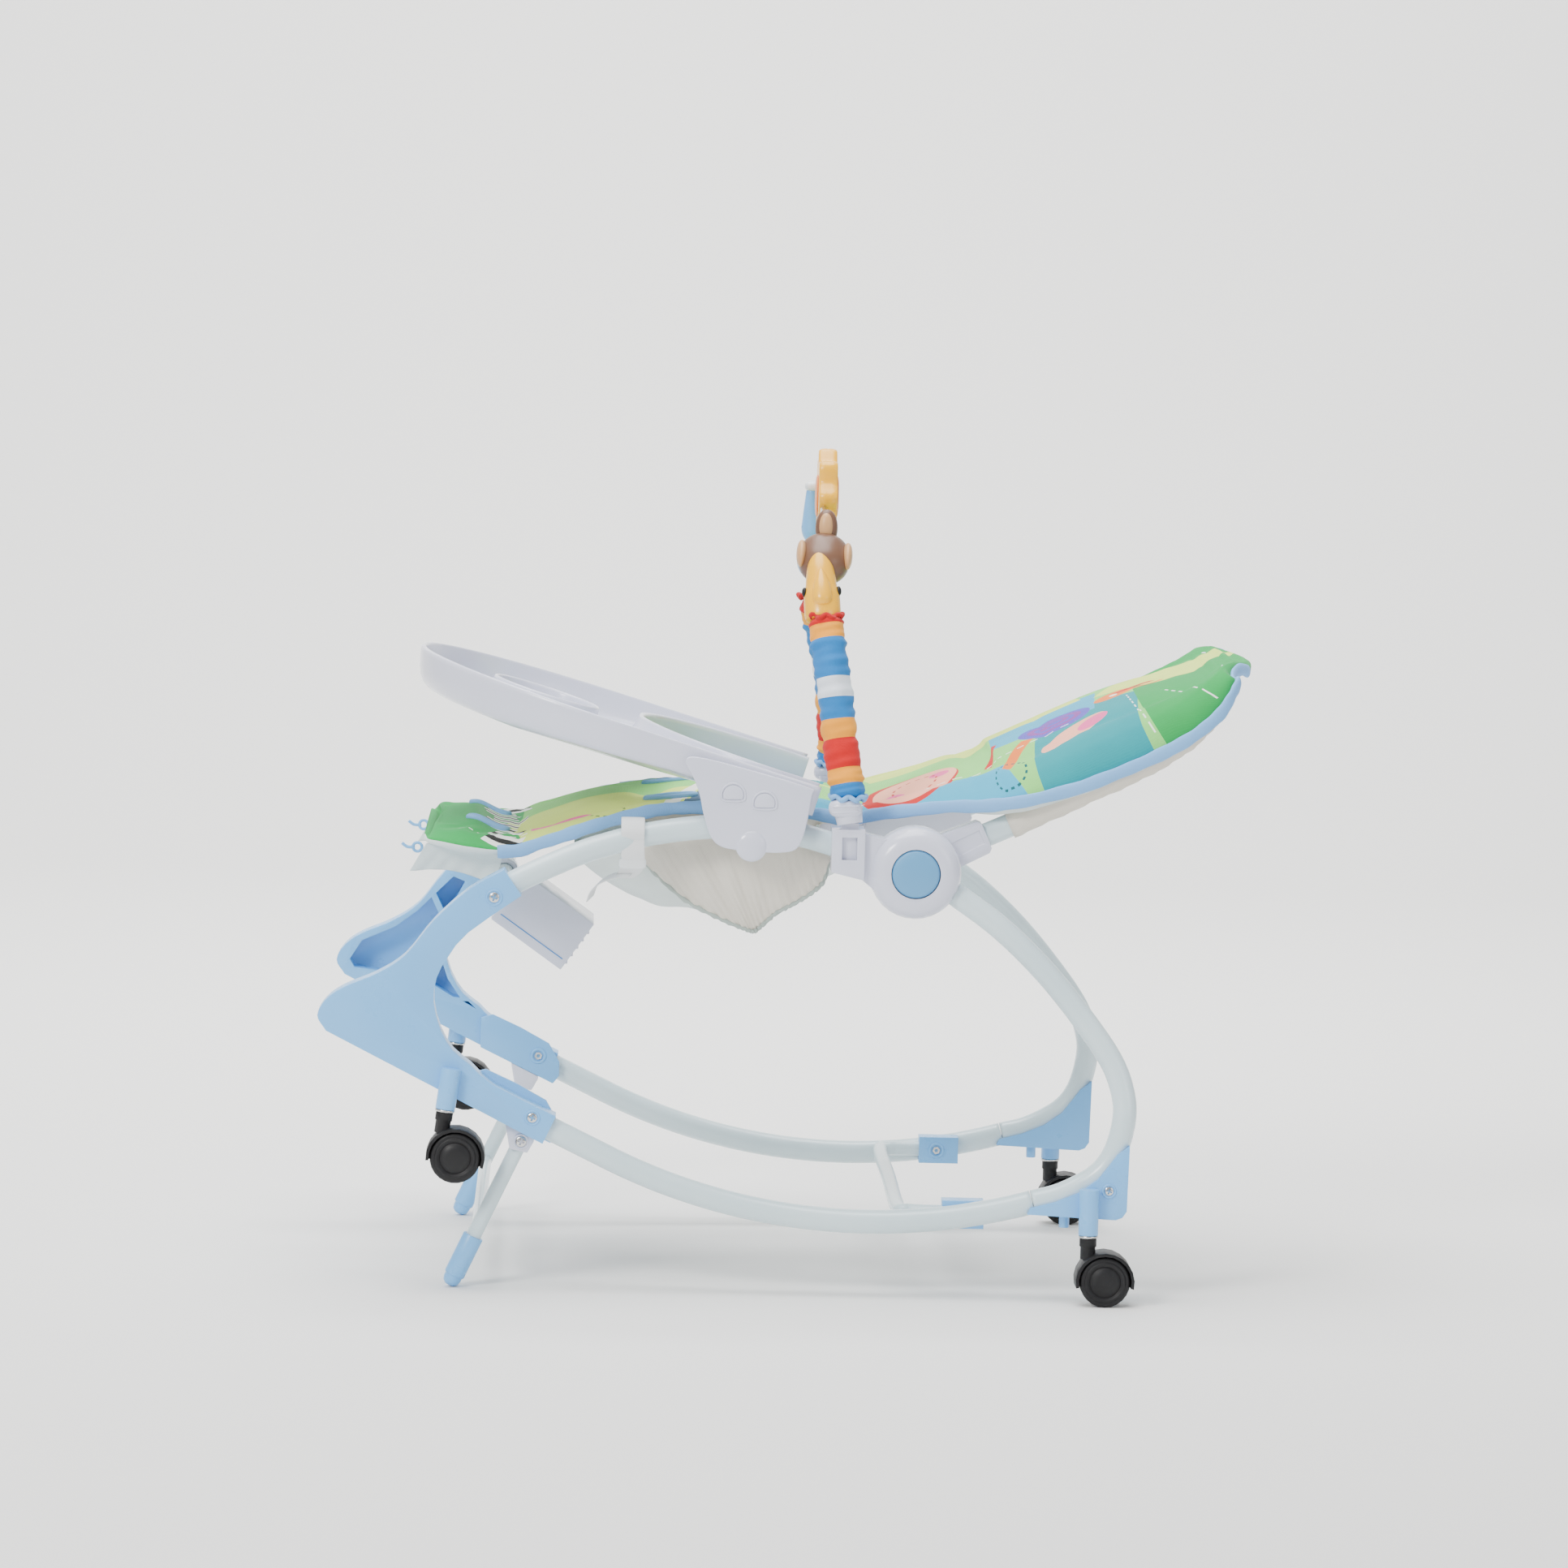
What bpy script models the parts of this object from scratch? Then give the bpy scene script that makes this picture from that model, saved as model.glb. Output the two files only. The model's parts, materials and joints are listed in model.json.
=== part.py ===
"""Bouncer seat: a rocking frame on four casters, with a folding stand, a reclining back,
a snack tray and a toy bar.

Metres, +Z up, +X towards the head end, -Y towards the child's left.  The origin is on the
floor under the middle of the seat.  Run with: blender --background --python part.py
"""
import math

import bmesh
import bpy
from mathutils import Matrix, Vector

MM = 0.001

# ---------------------------------------------------------------- driving dimensions
GAP = 0.3 * MM                 # left between pieces that touch
PLAY = 0.5 * MM                # running clearance of a moving piece

FRAME_HALF = 200 * MM          # rails and nose brackets, from the middle plane
HUB_HALF = 155 * MM            # seat tubes at the hub
REAR_TOP_HALF = 163 * MM       # rear tubes at the hub
CASTER_HALF = FRAME_HALF + 18.5 * MM     # caster stems
LEG_HALF = FRAME_HALF - 8 * MM # stand legs
BACK_HALF = 138 * MM           # backrest tube where it leaves its arms
BACK_WIDE_HALF = 148 * MM      # backrest tube at its widest

TUBE_R = 9.5 * MM              # main frame tube
BAR_R = 6 * MM                 # stand legs and rear cross tube
CROSS_R = 8 * MM               # cross tube under the front of the seat

RAIL_R = 475 * MM              # rocking radius of the rails
RAIL_LOW_X = 65 * MM           # where a rail is lowest
RAIL_LOW_Z = 60 * MM           # height of a rail's centre line there
RAIL_SLOPE = math.radians(25.6)     # of the straight front end of a rail
RAIL_FRONT_X = -236 * MM
RAIL_REAR_X = 196 * MM

HUB_X = 98 * MM                # recline axis
HUB_Z = 335 * MM
HUB_R = 36.5 * MM
HUB_INNER_Y = 150 * MM
HUB_OUTER_Y = 184 * MM
HUB_CAVITY_R = 22 * MM
HUB_FLOOR = 3 * MM
HUB_LIP = 6 * MM               # thickness round the button's mouth
BUTTON_R = 19.2 * MM
BUTTON_TRAVEL = 5 * MM
GEAR_R = 20 * MM
GEAR_TEETH = 14
GEAR_THICK = 6 * MM

CLIP_FRONT_X = 31 * MM         # block that takes the seat tube and the toy bar's plug
CLIP_LENGTH = 26 * MM
CLIP_LOW_Z = 329 * MM
CLIP_TOP_Z = 369 * MM
CLIP_INNER_Y = 144 * MM
CLIP_OUTER_Y = 182 * MM
SEAT_TUBE_END_X = 52 * MM

ARM_THICK = 23.4 * MM          # backrest arm, across
ARM_R = 30 * MM
ARM_REACH = 64 * MM
ARM_HEIGHT = 27 * MM
ARM_SLOT = 6.5 * MM              # half the height of the sunk panel in an arm's side
BACK_ANGLE = math.radians(24)
BACK_TUBE_START = 34 * MM      # from the hub axis, along the arm
ARM_RISE = 3 * MM              # of the arm's line above the hub axis

BRACKET_WALL = 2.2 * MM
BRACKET_THICK = 27 * MM        # nose bracket, across
ARM_HALF = TUBE_R + GAP + BRACKET_WALL      # half the height of a bracket's arm
CAP_THICK = 4 * MM
GUSSET_THICK = 24 * MM
SOCKET_R = 7.8 * MM
STEM_R = 4 * MM
STEM_INSIDE = 22 * MM          # of a caster stem in its socket
REAR_SOCKET_X = 240 * MM
REAR_SOCKET_HIGH = 92 * MM
FRONT_SOCKET_X = -269 * MM
FRONT_SOCKET_LOW = 145 * MM
FRONT_SOCKET_LENGTH = 32 * MM
FRONT_SOCKET_LEAN = math.radians(7.4)

WHEEL_R = 20 * MM
WHEEL_WIDTH = 9 * MM           # each of a caster's twin wheels
WHEEL_SPACE = 8 * MM           # between the twin wheels
AXLE_R = 2.5 * MM
TRAIL = 13.5 * MM              # from the stem's axis to the wheel's axle
STEM_ABOVE_AXLE = WHEEL_R + 16 * MM      # from the axle to the socket's lower end
HOOD_R = WHEEL_R + 3.3 * MM
REAR_SOCKET_LOW = WHEEL_R + STEM_ABOVE_AXLE

STAND_X = -209 * MM            # stand hinge
STAND_Z = 118 * MM
STAND_LEAN = math.radians(25)
FOOT_LENGTH = 44 * MM
FOOT_R = 8.3 * MM
STAND_BAR_UP = 52 * MM         # stand's cross bar above the foot's tip, along the leg
STAND_BAR_R = 5 * MM

CROSS_X = -229 * MM            # cross tube under the front of the seat
CROSS_Z = 312 * MM

REAR_BAR_X = 92 * MM           # crossing part of the rear cross tube
SADDLE_X = 142 * MM
SADDLE_LENGTH = 33 * MM
SADDLE_HEIGHT = 22 * MM
SADDLE_THICK = 15 * MM

TRAY_TIP_X = -300 * MM
TRAY_TIP_Z = 497 * MM          # outer rim's top at the front
TRAY_SLOPE = math.radians(16.6)
TRAY_HALF = 171 * MM
TRAY_ARM_WIDTH = 44 * MM
TRAY_ROUND = 176 * MM          # length of the rounded front, along the tray
TRAY_REAR_X = 22 * MM
TRAY_BELLY_X = -118 * MM       # front of the belly cut-out
TRAY_DEPTH = 30 * MM
TRAY_ARM_DEPTH = 22 * MM
TRAY_WALL = 2.6 * MM
CUP_R = 45 * MM
CUP_X = -196 * MM
SKIRT_FRONT_X = -72 * MM
SKIRT_REAR_X = 12 * MM
SKIRT_LOW_Z = 349 * MM
SKIRT_THICK = 3 * MM
SKIRT_OUT = 7 * MM             # skirt outside the tray's own side
TRAY_BUTTON_R = 8.2 * MM
TRAY_BUTTONS_X = (-48 * MM, -23 * MM)
TRAY_BUTTONS_Z = (394 * MM, 388 * MM)

# the backrest tube beyond its arms: distance from the hub, inward step, rise off the arm's line
BACK_CURVE = [(150 * MM, 2 * MM, 3 * MM), (200 * MM, 0 * MM, 5 * MM), (240 * MM, 5 * MM, 11 * MM),
              (268 * MM, 22 * MM, 21 * MM), (285 * MM, 52 * MM, 30 * MM), (292 * MM, 100 * MM, 34 * MM)]

ROD_R = 2.5 * MM
SLEEVE_R = 14.5 * MM
TOY_HOLE_R = 4.8 * MM
PLUG_Y = 173.5 * MM
PLUG_TONGUE = (14 * MM, 7 * MM, 24 * MM)
PLUG_X = 45 * MM

BOX_LENGTH = 70 * MM           # vibration unit
BOX_WIDTH = 84 * MM
BOX_HEIGHT = 46 * MM
BOX_SLOPE = math.radians(35)
BOX_WALL = 2.5 * MM

PAD_HALF = 158 * MM            # backrest pad, at its widest
PAD_PAST_HEAD = 19.5 * MM        # of the pad beyond the backrest tube
SEAT_PAD_HALF = 118 * MM       # between the tray's arms
SEAT_PAD_FRONT_HALF = 150 * MM
SLING_HALF = 128 * MM
SLING_DROP = 68 * MM

SIDES = {"left": -1, "right": 1}


# ---------------------------------------------------------------- scene and materials
for old in list(bpy.data.objects):
    bpy.data.objects.remove(old, do_unlink=True)

parts = bpy.data.collections.new("bouncer_seat")
cutters = bpy.data.collections.new("cutters")
bpy.context.scene.collection.children.link(parts)
bpy.context.scene.collection.children.link(cutters)


def material(name, colour, roughness, metallic=0.0):
    made = bpy.data.materials.new(name)
    made.use_nodes = True
    shader = made.node_tree.nodes["Principled BSDF"]
    shader.inputs["Base Color"].default_value = (*colour, 1.0)
    shader.inputs["Roughness"].default_value = roughness
    shader.inputs["Metallic"].default_value = metallic
    return made


BLUE = material("light_blue_plastic", (0.26, 0.53, 0.84), 0.3)
PAINT = material("pale_painted_tube", (0.58, 0.73, 0.77), 0.3, 0.2)
WHITE = material("lavender_white_plastic", (0.67, 0.69, 0.80), 0.25)
BUTTON = material("button_blue_plastic", (0.11, 0.35, 0.58), 0.35)
BLACK = material("black_plastic", (0.02, 0.02, 0.022), 0.4)
STEEL = material("bright_steel", (0.7, 0.7, 0.7), 0.25, 1.0)
GREEN = material("green_fabric", (0.1, 0.5, 0.12), 0.85)
CREAM = material("cream_fabric", (0.78, 0.78, 0.7), 0.9)
STRIPE = material("striped_fabric", (0.9, 0.45, 0.05), 0.85)
YELLOW = material("yellow_plastic", (0.9, 0.55, 0.03), 0.35)
BROWN = material("brown_plastic", (0.3, 0.14, 0.06), 0.4)


# ---------------------------------------------------------------- making shapes
def add(name, mesh, finish, cutter=False):
    made = bpy.data.objects.new(name, mesh)
    (cutters if cutter else parts).objects.link(made)
    made.hide_render = cutter
    if cutter:
        made.display_type = "WIRE"
    if finish:
        mesh.materials.append(finish)
    return made


def from_bmesh(name, shape, finish, cutter=False):
    bmesh.ops.recalc_face_normals(shape, faces=shape.faces)
    mesh = bpy.data.meshes.new(name)
    shape.to_mesh(mesh)
    shape.free()
    return add(name, mesh, finish, cutter)


def prism(name, outline, low_y, high_y, finish=None, cutter=False):
    """A flat (x, z) outline carried from low_y to high_y."""
    shape = bmesh.new()
    face = shape.faces.new([shape.verts.new((x, low_y, z)) for x, z in outline])
    swept = bmesh.ops.extrude_face_region(shape, geom=[face])
    moved = [item for item in swept["geom"] if isinstance(item, bmesh.types.BMVert)]
    bmesh.ops.translate(shape, verts=moved, vec=(0, high_y - low_y, 0))
    return from_bmesh(name, shape, finish, cutter)


def rod(name, start, end, radius, finish=None, cutter=False, end_radius=None, sides=20):
    """A cylinder or cone from one point to another."""
    start, end = Vector(start), Vector(end)
    along = end - start
    turn = along.to_track_quat("Z", "Y").to_matrix().to_4x4()
    shape = bmesh.new()
    bmesh.ops.create_cone(shape, cap_ends=True, segments=sides, radius1=radius,
                          radius2=radius if end_radius is None else end_radius,
                          depth=along.length,
                          matrix=Matrix.Translation((start + end) / 2) @ turn)
    return from_bmesh(name, shape, finish, cutter)


def box(name, low, high, finish=None, cutter=False, place=None):
    """A box between two corners; place turns or moves it afterwards."""
    low, high = Vector(low), Vector(high)
    shape = bmesh.new()
    bmesh.ops.create_cube(shape, size=1.0,
                          matrix=Matrix.Translation((low + high) / 2)
                          @ Matrix.Diagonal((*(high - low), 1.0)))
    if place is not None:
        bmesh.ops.transform(shape, matrix=place, verts=shape.verts)
    return from_bmesh(name, shape, finish, cutter)


def turned(name, profile, place, finish=None, cutter=False, steps=32):
    """A closed (radius, height) profile spun about the local Z axis, then placed."""
    shape = bmesh.new()
    ring = [shape.verts.new((r, 0, h)) for r, h in profile]
    edges = [shape.edges.new((ring[i], ring[(i + 1) % len(ring)])) for i in range(len(ring))
             if not (profile[i][0] == 0 and profile[(i + 1) % len(ring)][0] == 0)]
    bmesh.ops.spin(shape, geom=ring + edges, axis=(0, 0, 1), cent=(0, 0, 0),
                   angle=2 * math.pi, steps=steps, use_merge=True)
    bmesh.ops.remove_doubles(shape, verts=shape.verts, dist=0.001 * MM)
    bmesh.ops.transform(shape, matrix=place, verts=shape.verts)
    return from_bmesh(name, shape, finish, cutter)


def smooth_path(points, steps=4):
    """Points on a Catmull-Rom curve through the given ones, steps to a stretch."""
    points = [Vector(p) for p in points]
    ends = [2 * points[0] - points[1]] + points + [2 * points[-1] - points[-2]]
    path = []
    for i in range(1, len(ends) - 2):
        a, b, c, d = ends[i - 1:i + 3]
        for k in range(steps):
            t = k / steps
            path.append(0.5 * (2 * b + (c - a) * t + (2 * a - 5 * b + 4 * c - d) * t * t
                               + (3 * b - a - 3 * c + d) * t ** 3))
    return path + [points[-1]]


def tube(name, path, radius, finish=None, cutter=False, fine=3):
    """A bar of round section along a path, made a mesh so that it can be cut."""
    curve = bpy.data.curves.new(name, "CURVE")
    curve.dimensions = "3D"
    curve.bevel_depth = radius
    curve.bevel_resolution = fine
    curve.use_fill_caps = True
    line = curve.splines.new("POLY")
    line.points.add(len(path) - 1)
    for point, place in zip(line.points, path):
        point.co = (*place, 1.0)
    holder = bpy.data.objects.new(name, curve)
    bpy.context.scene.collection.objects.link(holder)
    bpy.context.view_layer.update()
    seen = holder.evaluated_get(bpy.context.evaluated_depsgraph_get())
    shape = bmesh.new()
    shape.from_mesh(bpy.data.meshes.new_from_object(seen))
    bmesh.ops.remove_doubles(shape, verts=shape.verts, dist=0.01 * MM)
    bpy.data.objects.remove(holder)
    return from_bmesh(name, shape, finish, cutter)


def combine(target, tool, how):
    step = target.modifiers.new(f"{how.lower()}_{len(target.modifiers)}", "BOOLEAN")
    step.operation = how
    step.solver = "EXACT"
    step.object = tool


def cut(target, *tools):
    for tool in tools:
        combine(target, tool, "DIFFERENCE")


def join(target, *tools):
    for tool in tools:
        combine(target, tool, "UNION")


def mirrored(made):
    """The same piece for the right side of the seat."""
    bpy.context.view_layer.update()
    seen = made.evaluated_get(bpy.context.evaluated_depsgraph_get())
    mesh = bpy.data.meshes.new_from_object(seen)
    mesh.transform(Matrix.Diagonal((1, -1, 1, 1)))
    mesh.flip_normals()
    return add(made.name.replace("left", "right"), mesh, None)


def along_y(x, y, z, outward):
    """Turns the local Z axis to point along outward (+1 or -1) Y, at a place."""
    return Matrix.Translation((x, y, z)) @ Matrix.Rotation(-outward * math.pi / 2, 4, "X")


# ---------------------------------------------------------------- centre lines
def rail_path(side):
    """The straight front end of a rail, then its rocking arc."""
    centre_z = RAIL_LOW_Z + RAIL_R
    meet = -RAIL_SLOPE
    last = math.asin((RAIL_REAR_X - RAIL_LOW_X) / RAIL_R)
    arc = [meet + (last - meet) * i / 14 for i in range(15)]
    points = [(RAIL_LOW_X + RAIL_R * math.sin(a), centre_z - RAIL_R * math.cos(a)) for a in arc]
    front_z = points[0][1] + (points[0][0] - RAIL_FRONT_X) * math.tan(RAIL_SLOPE)
    return [Vector((x, side * FRAME_HALF, z)) for x, z in [(RAIL_FRONT_X, front_z)] + points]


def rear_tube_path(side):
    """From the rail's rear end round the bend and up to the hub."""
    rail = rail_path(side)
    step = (rail[-1] - rail[-2]).normalized()
    start = rail[-1] + step * 2 * GAP
    lower = [start, start + 24 * MM * step]
    bend = [(0.246, 0.100), (0.260, 0.118), (0.267, 0.144), (0.266, 0.166), (0.2555, 0.1925),
            (0.230, 0.2275), (0.200, 0.262)]
    top_z = HUB_Z - 13 * MM
    upper = [(HUB_X + 67 * MM, HUB_Z - 41 * MM), (HUB_X + 27 * MM, top_z)]

    def half(z):
        share = max(0.0, (z - bend[2][1]) / (top_z - bend[2][1]))
        return side * (FRAME_HALF + (REAR_TOP_HALF - FRAME_HALF) * share)

    return smooth_path(lower + [Vector((x, half(z), z)) for x, z in bend + upper], 3)


def seat_tube_path(side):
    """From inside the nose bracket, over the low arch of the seat, to the hub's block."""
    drop = (HUB_Z - 335 * MM)
    run = [(-0.238, 0.3105, 1.0), (-0.220, 0.3225, 1.0), (-0.191, 0.3365, 0.86), (-0.157, 0.350, 0.66),
           (-0.112, 0.3615, 0.4), (-0.062, 0.3675, 0.2), (-0.020, 0.3665, 0.08), (0.012, 0.3605, 0.0)]
    points = [Vector((x, side * (HUB_HALF + (FRAME_HALF - HUB_HALF) * w), z + drop * (1 - w)))
              for x, z, w in run]
    points.append(Vector((SEAT_TUBE_END_X, side * HUB_HALF, HUB_Z + 14 * MM)))
    return smooth_path(points, 3)


def arm_point(distance, side, half=BACK_HALF, rise=0.0):
    """A point on the backrest arm's line, a distance from the recline axis."""
    along = Vector((math.cos(BACK_ANGLE), 0, math.sin(BACK_ANGLE)))
    up = Vector((-math.sin(BACK_ANGLE), 0, math.cos(BACK_ANGLE)))
    return (Vector((HUB_X, side * half, HUB_Z)) + along * distance
            + up * (rise + ARM_RISE))


def back_tube_path():
    """The backrest's U: up one side, round the head and down the other."""
    side = [arm_point(BACK_TUBE_START, -1), arm_point(90 * MM, -1)]
    for distance, inward, rise in BACK_CURVE:
        side.append(arm_point(distance, -1, BACK_WIDE_HALF - inward, rise))
    half = side + [arm_point(BACK_CURVE[-1][0], 1, 0.0, BACK_CURVE[-1][2])]
    other = [Vector((p.x, -p.y, p.z)) for p in reversed(side)]
    return smooth_path(half + other, 3)


def leg_point(distance, side):
    """A point on a stand leg, a distance below its hinge."""
    return Vector((STAND_X - distance * math.sin(STAND_LEAN), side * LEG_HALF,
                   STAND_Z - distance * math.cos(STAND_LEAN)))


# ---------------------------------------------------------------- frame
def nose_outline():
    """The C of a nose bracket: out along the top, round the nose, back along the bottom."""
    low = ARM_HALF / math.cos(RAIL_SLOPE)
    rail_front, rail_next = rail_path(1)[:2]
    slope = (rail_next.z - rail_front.z) / (rail_next.x - rail_front.x)

    def on_rail(x):
        return rail_front.z + (x - rail_front.x) * slope

    end_x = -187 * MM
    lower_end = [(end_x - 5 * MM, on_rail(end_x - 5 * MM) - low),
                 (end_x + 5 * MM, on_rail(end_x + 5 * MM) + low)]
    upper = [(-0.213, 0.314), (-0.227, 0.334), (-0.254, 0.318), (-0.281, 0.293), (-0.303, 0.265),
             (-0.325, 0.250), (-0.350, 0.239), (-0.364, 0.229), (-0.371, 0.216), (-0.364, 0.204)]
    inner = [(-0.232, on_rail(-0.232) + low), (-0.250, 0.179), (-0.264, 0.190), (-0.274, 0.206),
             (-0.280, 0.228), (-0.278, 0.248), (-0.269, 0.265), (-0.254, 0.284)]
    nose = smooth_path([(x, 0, z) for x, z in upper[1:]], 4)
    hollow = smooth_path([(x, 0, z) for x, z in [lower_end[1]] + inner + [upper[0]]], 2)
    return ([(p.x, p.z) for p in nose] + [lower_end[0]] + [(p.x, p.z) for p in hollow])


def front_socket(side, radius, low, high):
    """Bottom and top of a rod on the front caster's leaning axis."""
    lean = Vector((math.sin(FRONT_SOCKET_LEAN), 0, math.cos(FRONT_SOCKET_LEAN)))
    foot = Vector((FRONT_SOCKET_X, side * CASTER_HALF, FRONT_SOCKET_LOW))
    return foot + lean * low, foot + lean * high, radius


def pocket_outlines():
    """The hollows in a bracket's inner side, with the ribs left between them."""
    return [[(-0.360, 0.2170), (-0.350, 0.2330), (-0.322, 0.2455), (-0.304, 0.2590), (-0.292, 0.2710),
             (-0.2850, 0.2560), (-0.2860, 0.2250), (-0.2990, 0.2030), (-0.3400, 0.2080), (-0.3560, 0.2100)],
            [(-0.2885, 0.2745), (-0.2740, 0.2890), (-0.2640, 0.2850), (-0.2700, 0.2730), (-0.2810, 0.2590)],
            [(-0.2960, 0.2005), (-0.2830, 0.2200), (-0.2770, 0.2020), (-0.2660, 0.1860), (-0.2720, 0.1865)],
            [(-0.2640, 0.1832), (-0.2520, 0.1765), (-0.2590, 0.1830)]]


def nose_bracket(label, side):
    """A thick C with a channel for each tube, ribs, and the front caster's socket."""
    outer_y = side * (FRAME_HALF + BRACKET_THICK / 2)
    inner_y = side * (FRAME_HALF - BRACKET_THICK / 2)
    made = prism(f"nose_bracket_{label}", nose_outline(), *sorted((inner_y, outer_y)), BLUE)
    bottom, top, radius = front_socket(side, SOCKET_R, 0.0, FRONT_SOCKET_LENGTH)
    join(made, rod(f"socket_front_{label}", bottom, top, radius, cutter=True))
    skin = side * (FRAME_HALF + BRACKET_THICK / 2 - 3 * MM)
    open_side = inner_y - side * 1 * MM
    pocket_low, pocket_high = sorted((skin, open_side))
    pockets = [prism(f"pocket_{label}_{i}", outline, pocket_low, pocket_high, cutter=True)
               for i, outline in enumerate(pocket_outlines())]
    rail = tube(f"rail_room_{label}", rail_path(side), TUBE_R + GAP, cutter=True)
    seat = tube(f"seat_room_{label}", seat_tube_path(side), TUBE_R + GAP, cutter=True)
    stem_low, stem_high, _ = front_socket(side, 0, -1 * MM, STEM_INSIDE + GAP)
    stem = rod(f"stem_room_front_{label}", stem_low, stem_high, STEM_R + GAP, cutter=True, sides=16)
    cross = rod(f"cross_room_{label}", (CROSS_X, inner_y - side * 2 * MM, CROSS_Z),
                (CROSS_X, inner_y + side * 2.5 * MM, CROSS_Z), CROSS_R + GAP, cutter=True)
    cut(made, *pockets, rail, seat, stem, cross)
    return made


def bracket_cap(label, side):
    """The clamp plate on the inner side of a nose bracket's lower end."""
    face = side * (FRAME_HALF - BRACKET_THICK / 2 - GAP)
    rail_front, rail_next = rail_path(1)[:2]
    slope = (rail_next.z - rail_front.z) / (rail_next.x - rail_front.x)
    high = 13.5 * MM / math.cos(RAIL_SLOPE)
    outline = []
    for x, share in ((-0.248, -0.9), (-0.186, -0.9), (-0.181, -0.3), (-0.181, 0.5), (-0.190, 1.25),
                     (-0.214, 1.35), (-0.238, 1.3), (-0.248, 0.8)):
        outline.append((x, rail_front.z + (x - rail_front.x) * slope + share * high))
    return prism(f"bracket_cap_{label}", outline, *sorted((face, face - side * CAP_THICK)), BLUE)


def rear_gusset(label, side):
    """The plate under the rear bend, grooved for the tube, with the rear caster's socket."""
    ends = sorted((side * (FRAME_HALF - GUSSET_THICK / 2), side * (FRAME_HALF + GUSSET_THICK / 2)))
    outline = [(0.192, 0.070), (0.262, 0.067), (0.267, 0.069), (0.2705, 0.074), (0.2715, 0.126),
               (0.262, 0.119), (0.247, 0.099), (0.232, 0.088), (0.213, 0.080), (0.194, 0.075)]
    made = prism(f"rear_gusset_{label}", outline, *ends, BLUE)
    axis = (REAR_SOCKET_X, side * CASTER_HALF)
    join(made, rod(f"socket_rear_{label}", (*axis, REAR_SOCKET_LOW), (*axis, REAR_SOCKET_HIGH), SOCKET_R,
                   cutter=True))
    peg_x = 222 * MM
    join(made, rod(f"peg_{label}", (peg_x, side * FRAME_HALF, 59 * MM), (peg_x, side * FRAME_HALF, 74 * MM),
                   4 * MM, cutter=True, sides=12))
    cut(made, tube(f"rear_room_{label}", rear_tube_path(side)[:22], TUBE_R + GAP, cutter=True),
        tube(f"rail_end_room_{label}", rail_path(side)[-3:], TUBE_R + GAP, cutter=True),
        rod(f"stem_room_rear_{label}", (*axis, REAR_SOCKET_LOW - 1 * MM),
            (*axis, REAR_SOCKET_LOW + STEM_INSIDE + GAP), STEM_R + GAP, cutter=True, sides=16))
    return made


def cross_tube_points():
    """Arms inside the rails, joined by a run across."""
    arm_y = FRAME_HALF - TUBE_R - BAR_R - GAP
    z = rail_height(SADDLE_X)
    end = SADDLE_X + SADDLE_LENGTH / 2 - 2 * MM
    side = [(end, -arm_y, z), (REAR_BAR_X + 24 * MM, -arm_y, z), (REAR_BAR_X + 8 * MM, -arm_y + 4 * MM, z),
            (REAR_BAR_X, -arm_y + 20 * MM, z)]
    return side + [(REAR_BAR_X, 0, z)] + [(x, -y, z) for x, y, z in reversed(side)]


def rear_cross_tube():
    """A thin U between the rails, held in the saddles."""
    return tube("rear_cross_tube", smooth_path(cross_tube_points(), 3), BAR_R, PAINT, fine=2)


def rail_height(x):
    return RAIL_LOW_Z + RAIL_R - math.sqrt(RAIL_R ** 2 - (x - RAIL_LOW_X) ** 2)


def saddle(label, side, cross_room):
    """The block that clamps the rear cross tube's end against the rail."""
    z = rail_height(SADDLE_X)
    outer = side * (FRAME_HALF - TUBE_R + 5 * MM)
    inner = side * (FRAME_HALF - TUBE_R + 5 * MM - SADDLE_THICK - 2 * BAR_R + 7 * MM)
    low, high = sorted((outer, inner))
    made = box(f"saddle_{label}", (SADDLE_X - SADDLE_LENGTH / 2, low, z - SADDLE_HEIGHT / 2),
               (SADDLE_X + SADDLE_LENGTH / 2, high, z + SADDLE_HEIGHT / 2), BLUE)
    cut(made, cross_room, tube(f"saddle_rail_room_{label}", rail_path(side)[8:], TUBE_R + GAP, cutter=True))
    return made


def stand_bracket(label, side):
    """A clevis under the nose bracket that carries the stand's hinge."""
    low, high = sorted((side * (LEG_HALF - 10 * MM), side * (LEG_HALF + 10 * MM)))
    top = STAND_Z + 21 * MM
    made = prism(f"stand_bracket_{label}", [(STAND_X - 9 * MM, STAND_Z - 6 * MM),
                                            (STAND_X + 5 * MM, STAND_Z - 9 * MM),
                                            (STAND_X + 10 * MM, STAND_Z), (STAND_X + 14 * MM, top),
                                            (STAND_X - 14 * MM, top)], low, high, WHITE)
    room = BAR_R + PLAY
    cut(made, box(f"leg_room_{label}", (STAND_X - 30 * MM, side * LEG_HALF - room, STAND_Z - 30 * MM),
                  (STAND_X + 30 * MM, side * LEG_HALF + room, STAND_Z + BAR_R + 4 * PLAY), cutter=True),
        prism(f"arm_room_{label}", arm_underside(), low - 5 * MM, high + 5 * MM, cutter=True))
    return made


def arm_underside():
    """Everything above the nose bracket's lower arm and the rail, less the gap."""
    drop = ARM_HALF / math.cos(RAIL_SLOPE) + GAP
    rail_front, rail_next = rail_path(1)[:2]
    slope = (rail_next.z - rail_front.z) / (rail_next.x - rail_front.x)
    ends = [(x, rail_front.z + (x - rail_front.x) * slope - drop) for x in (-0.26, -0.16)]
    return ends + [(-0.16, 0.24), (-0.26, 0.24)]


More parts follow.
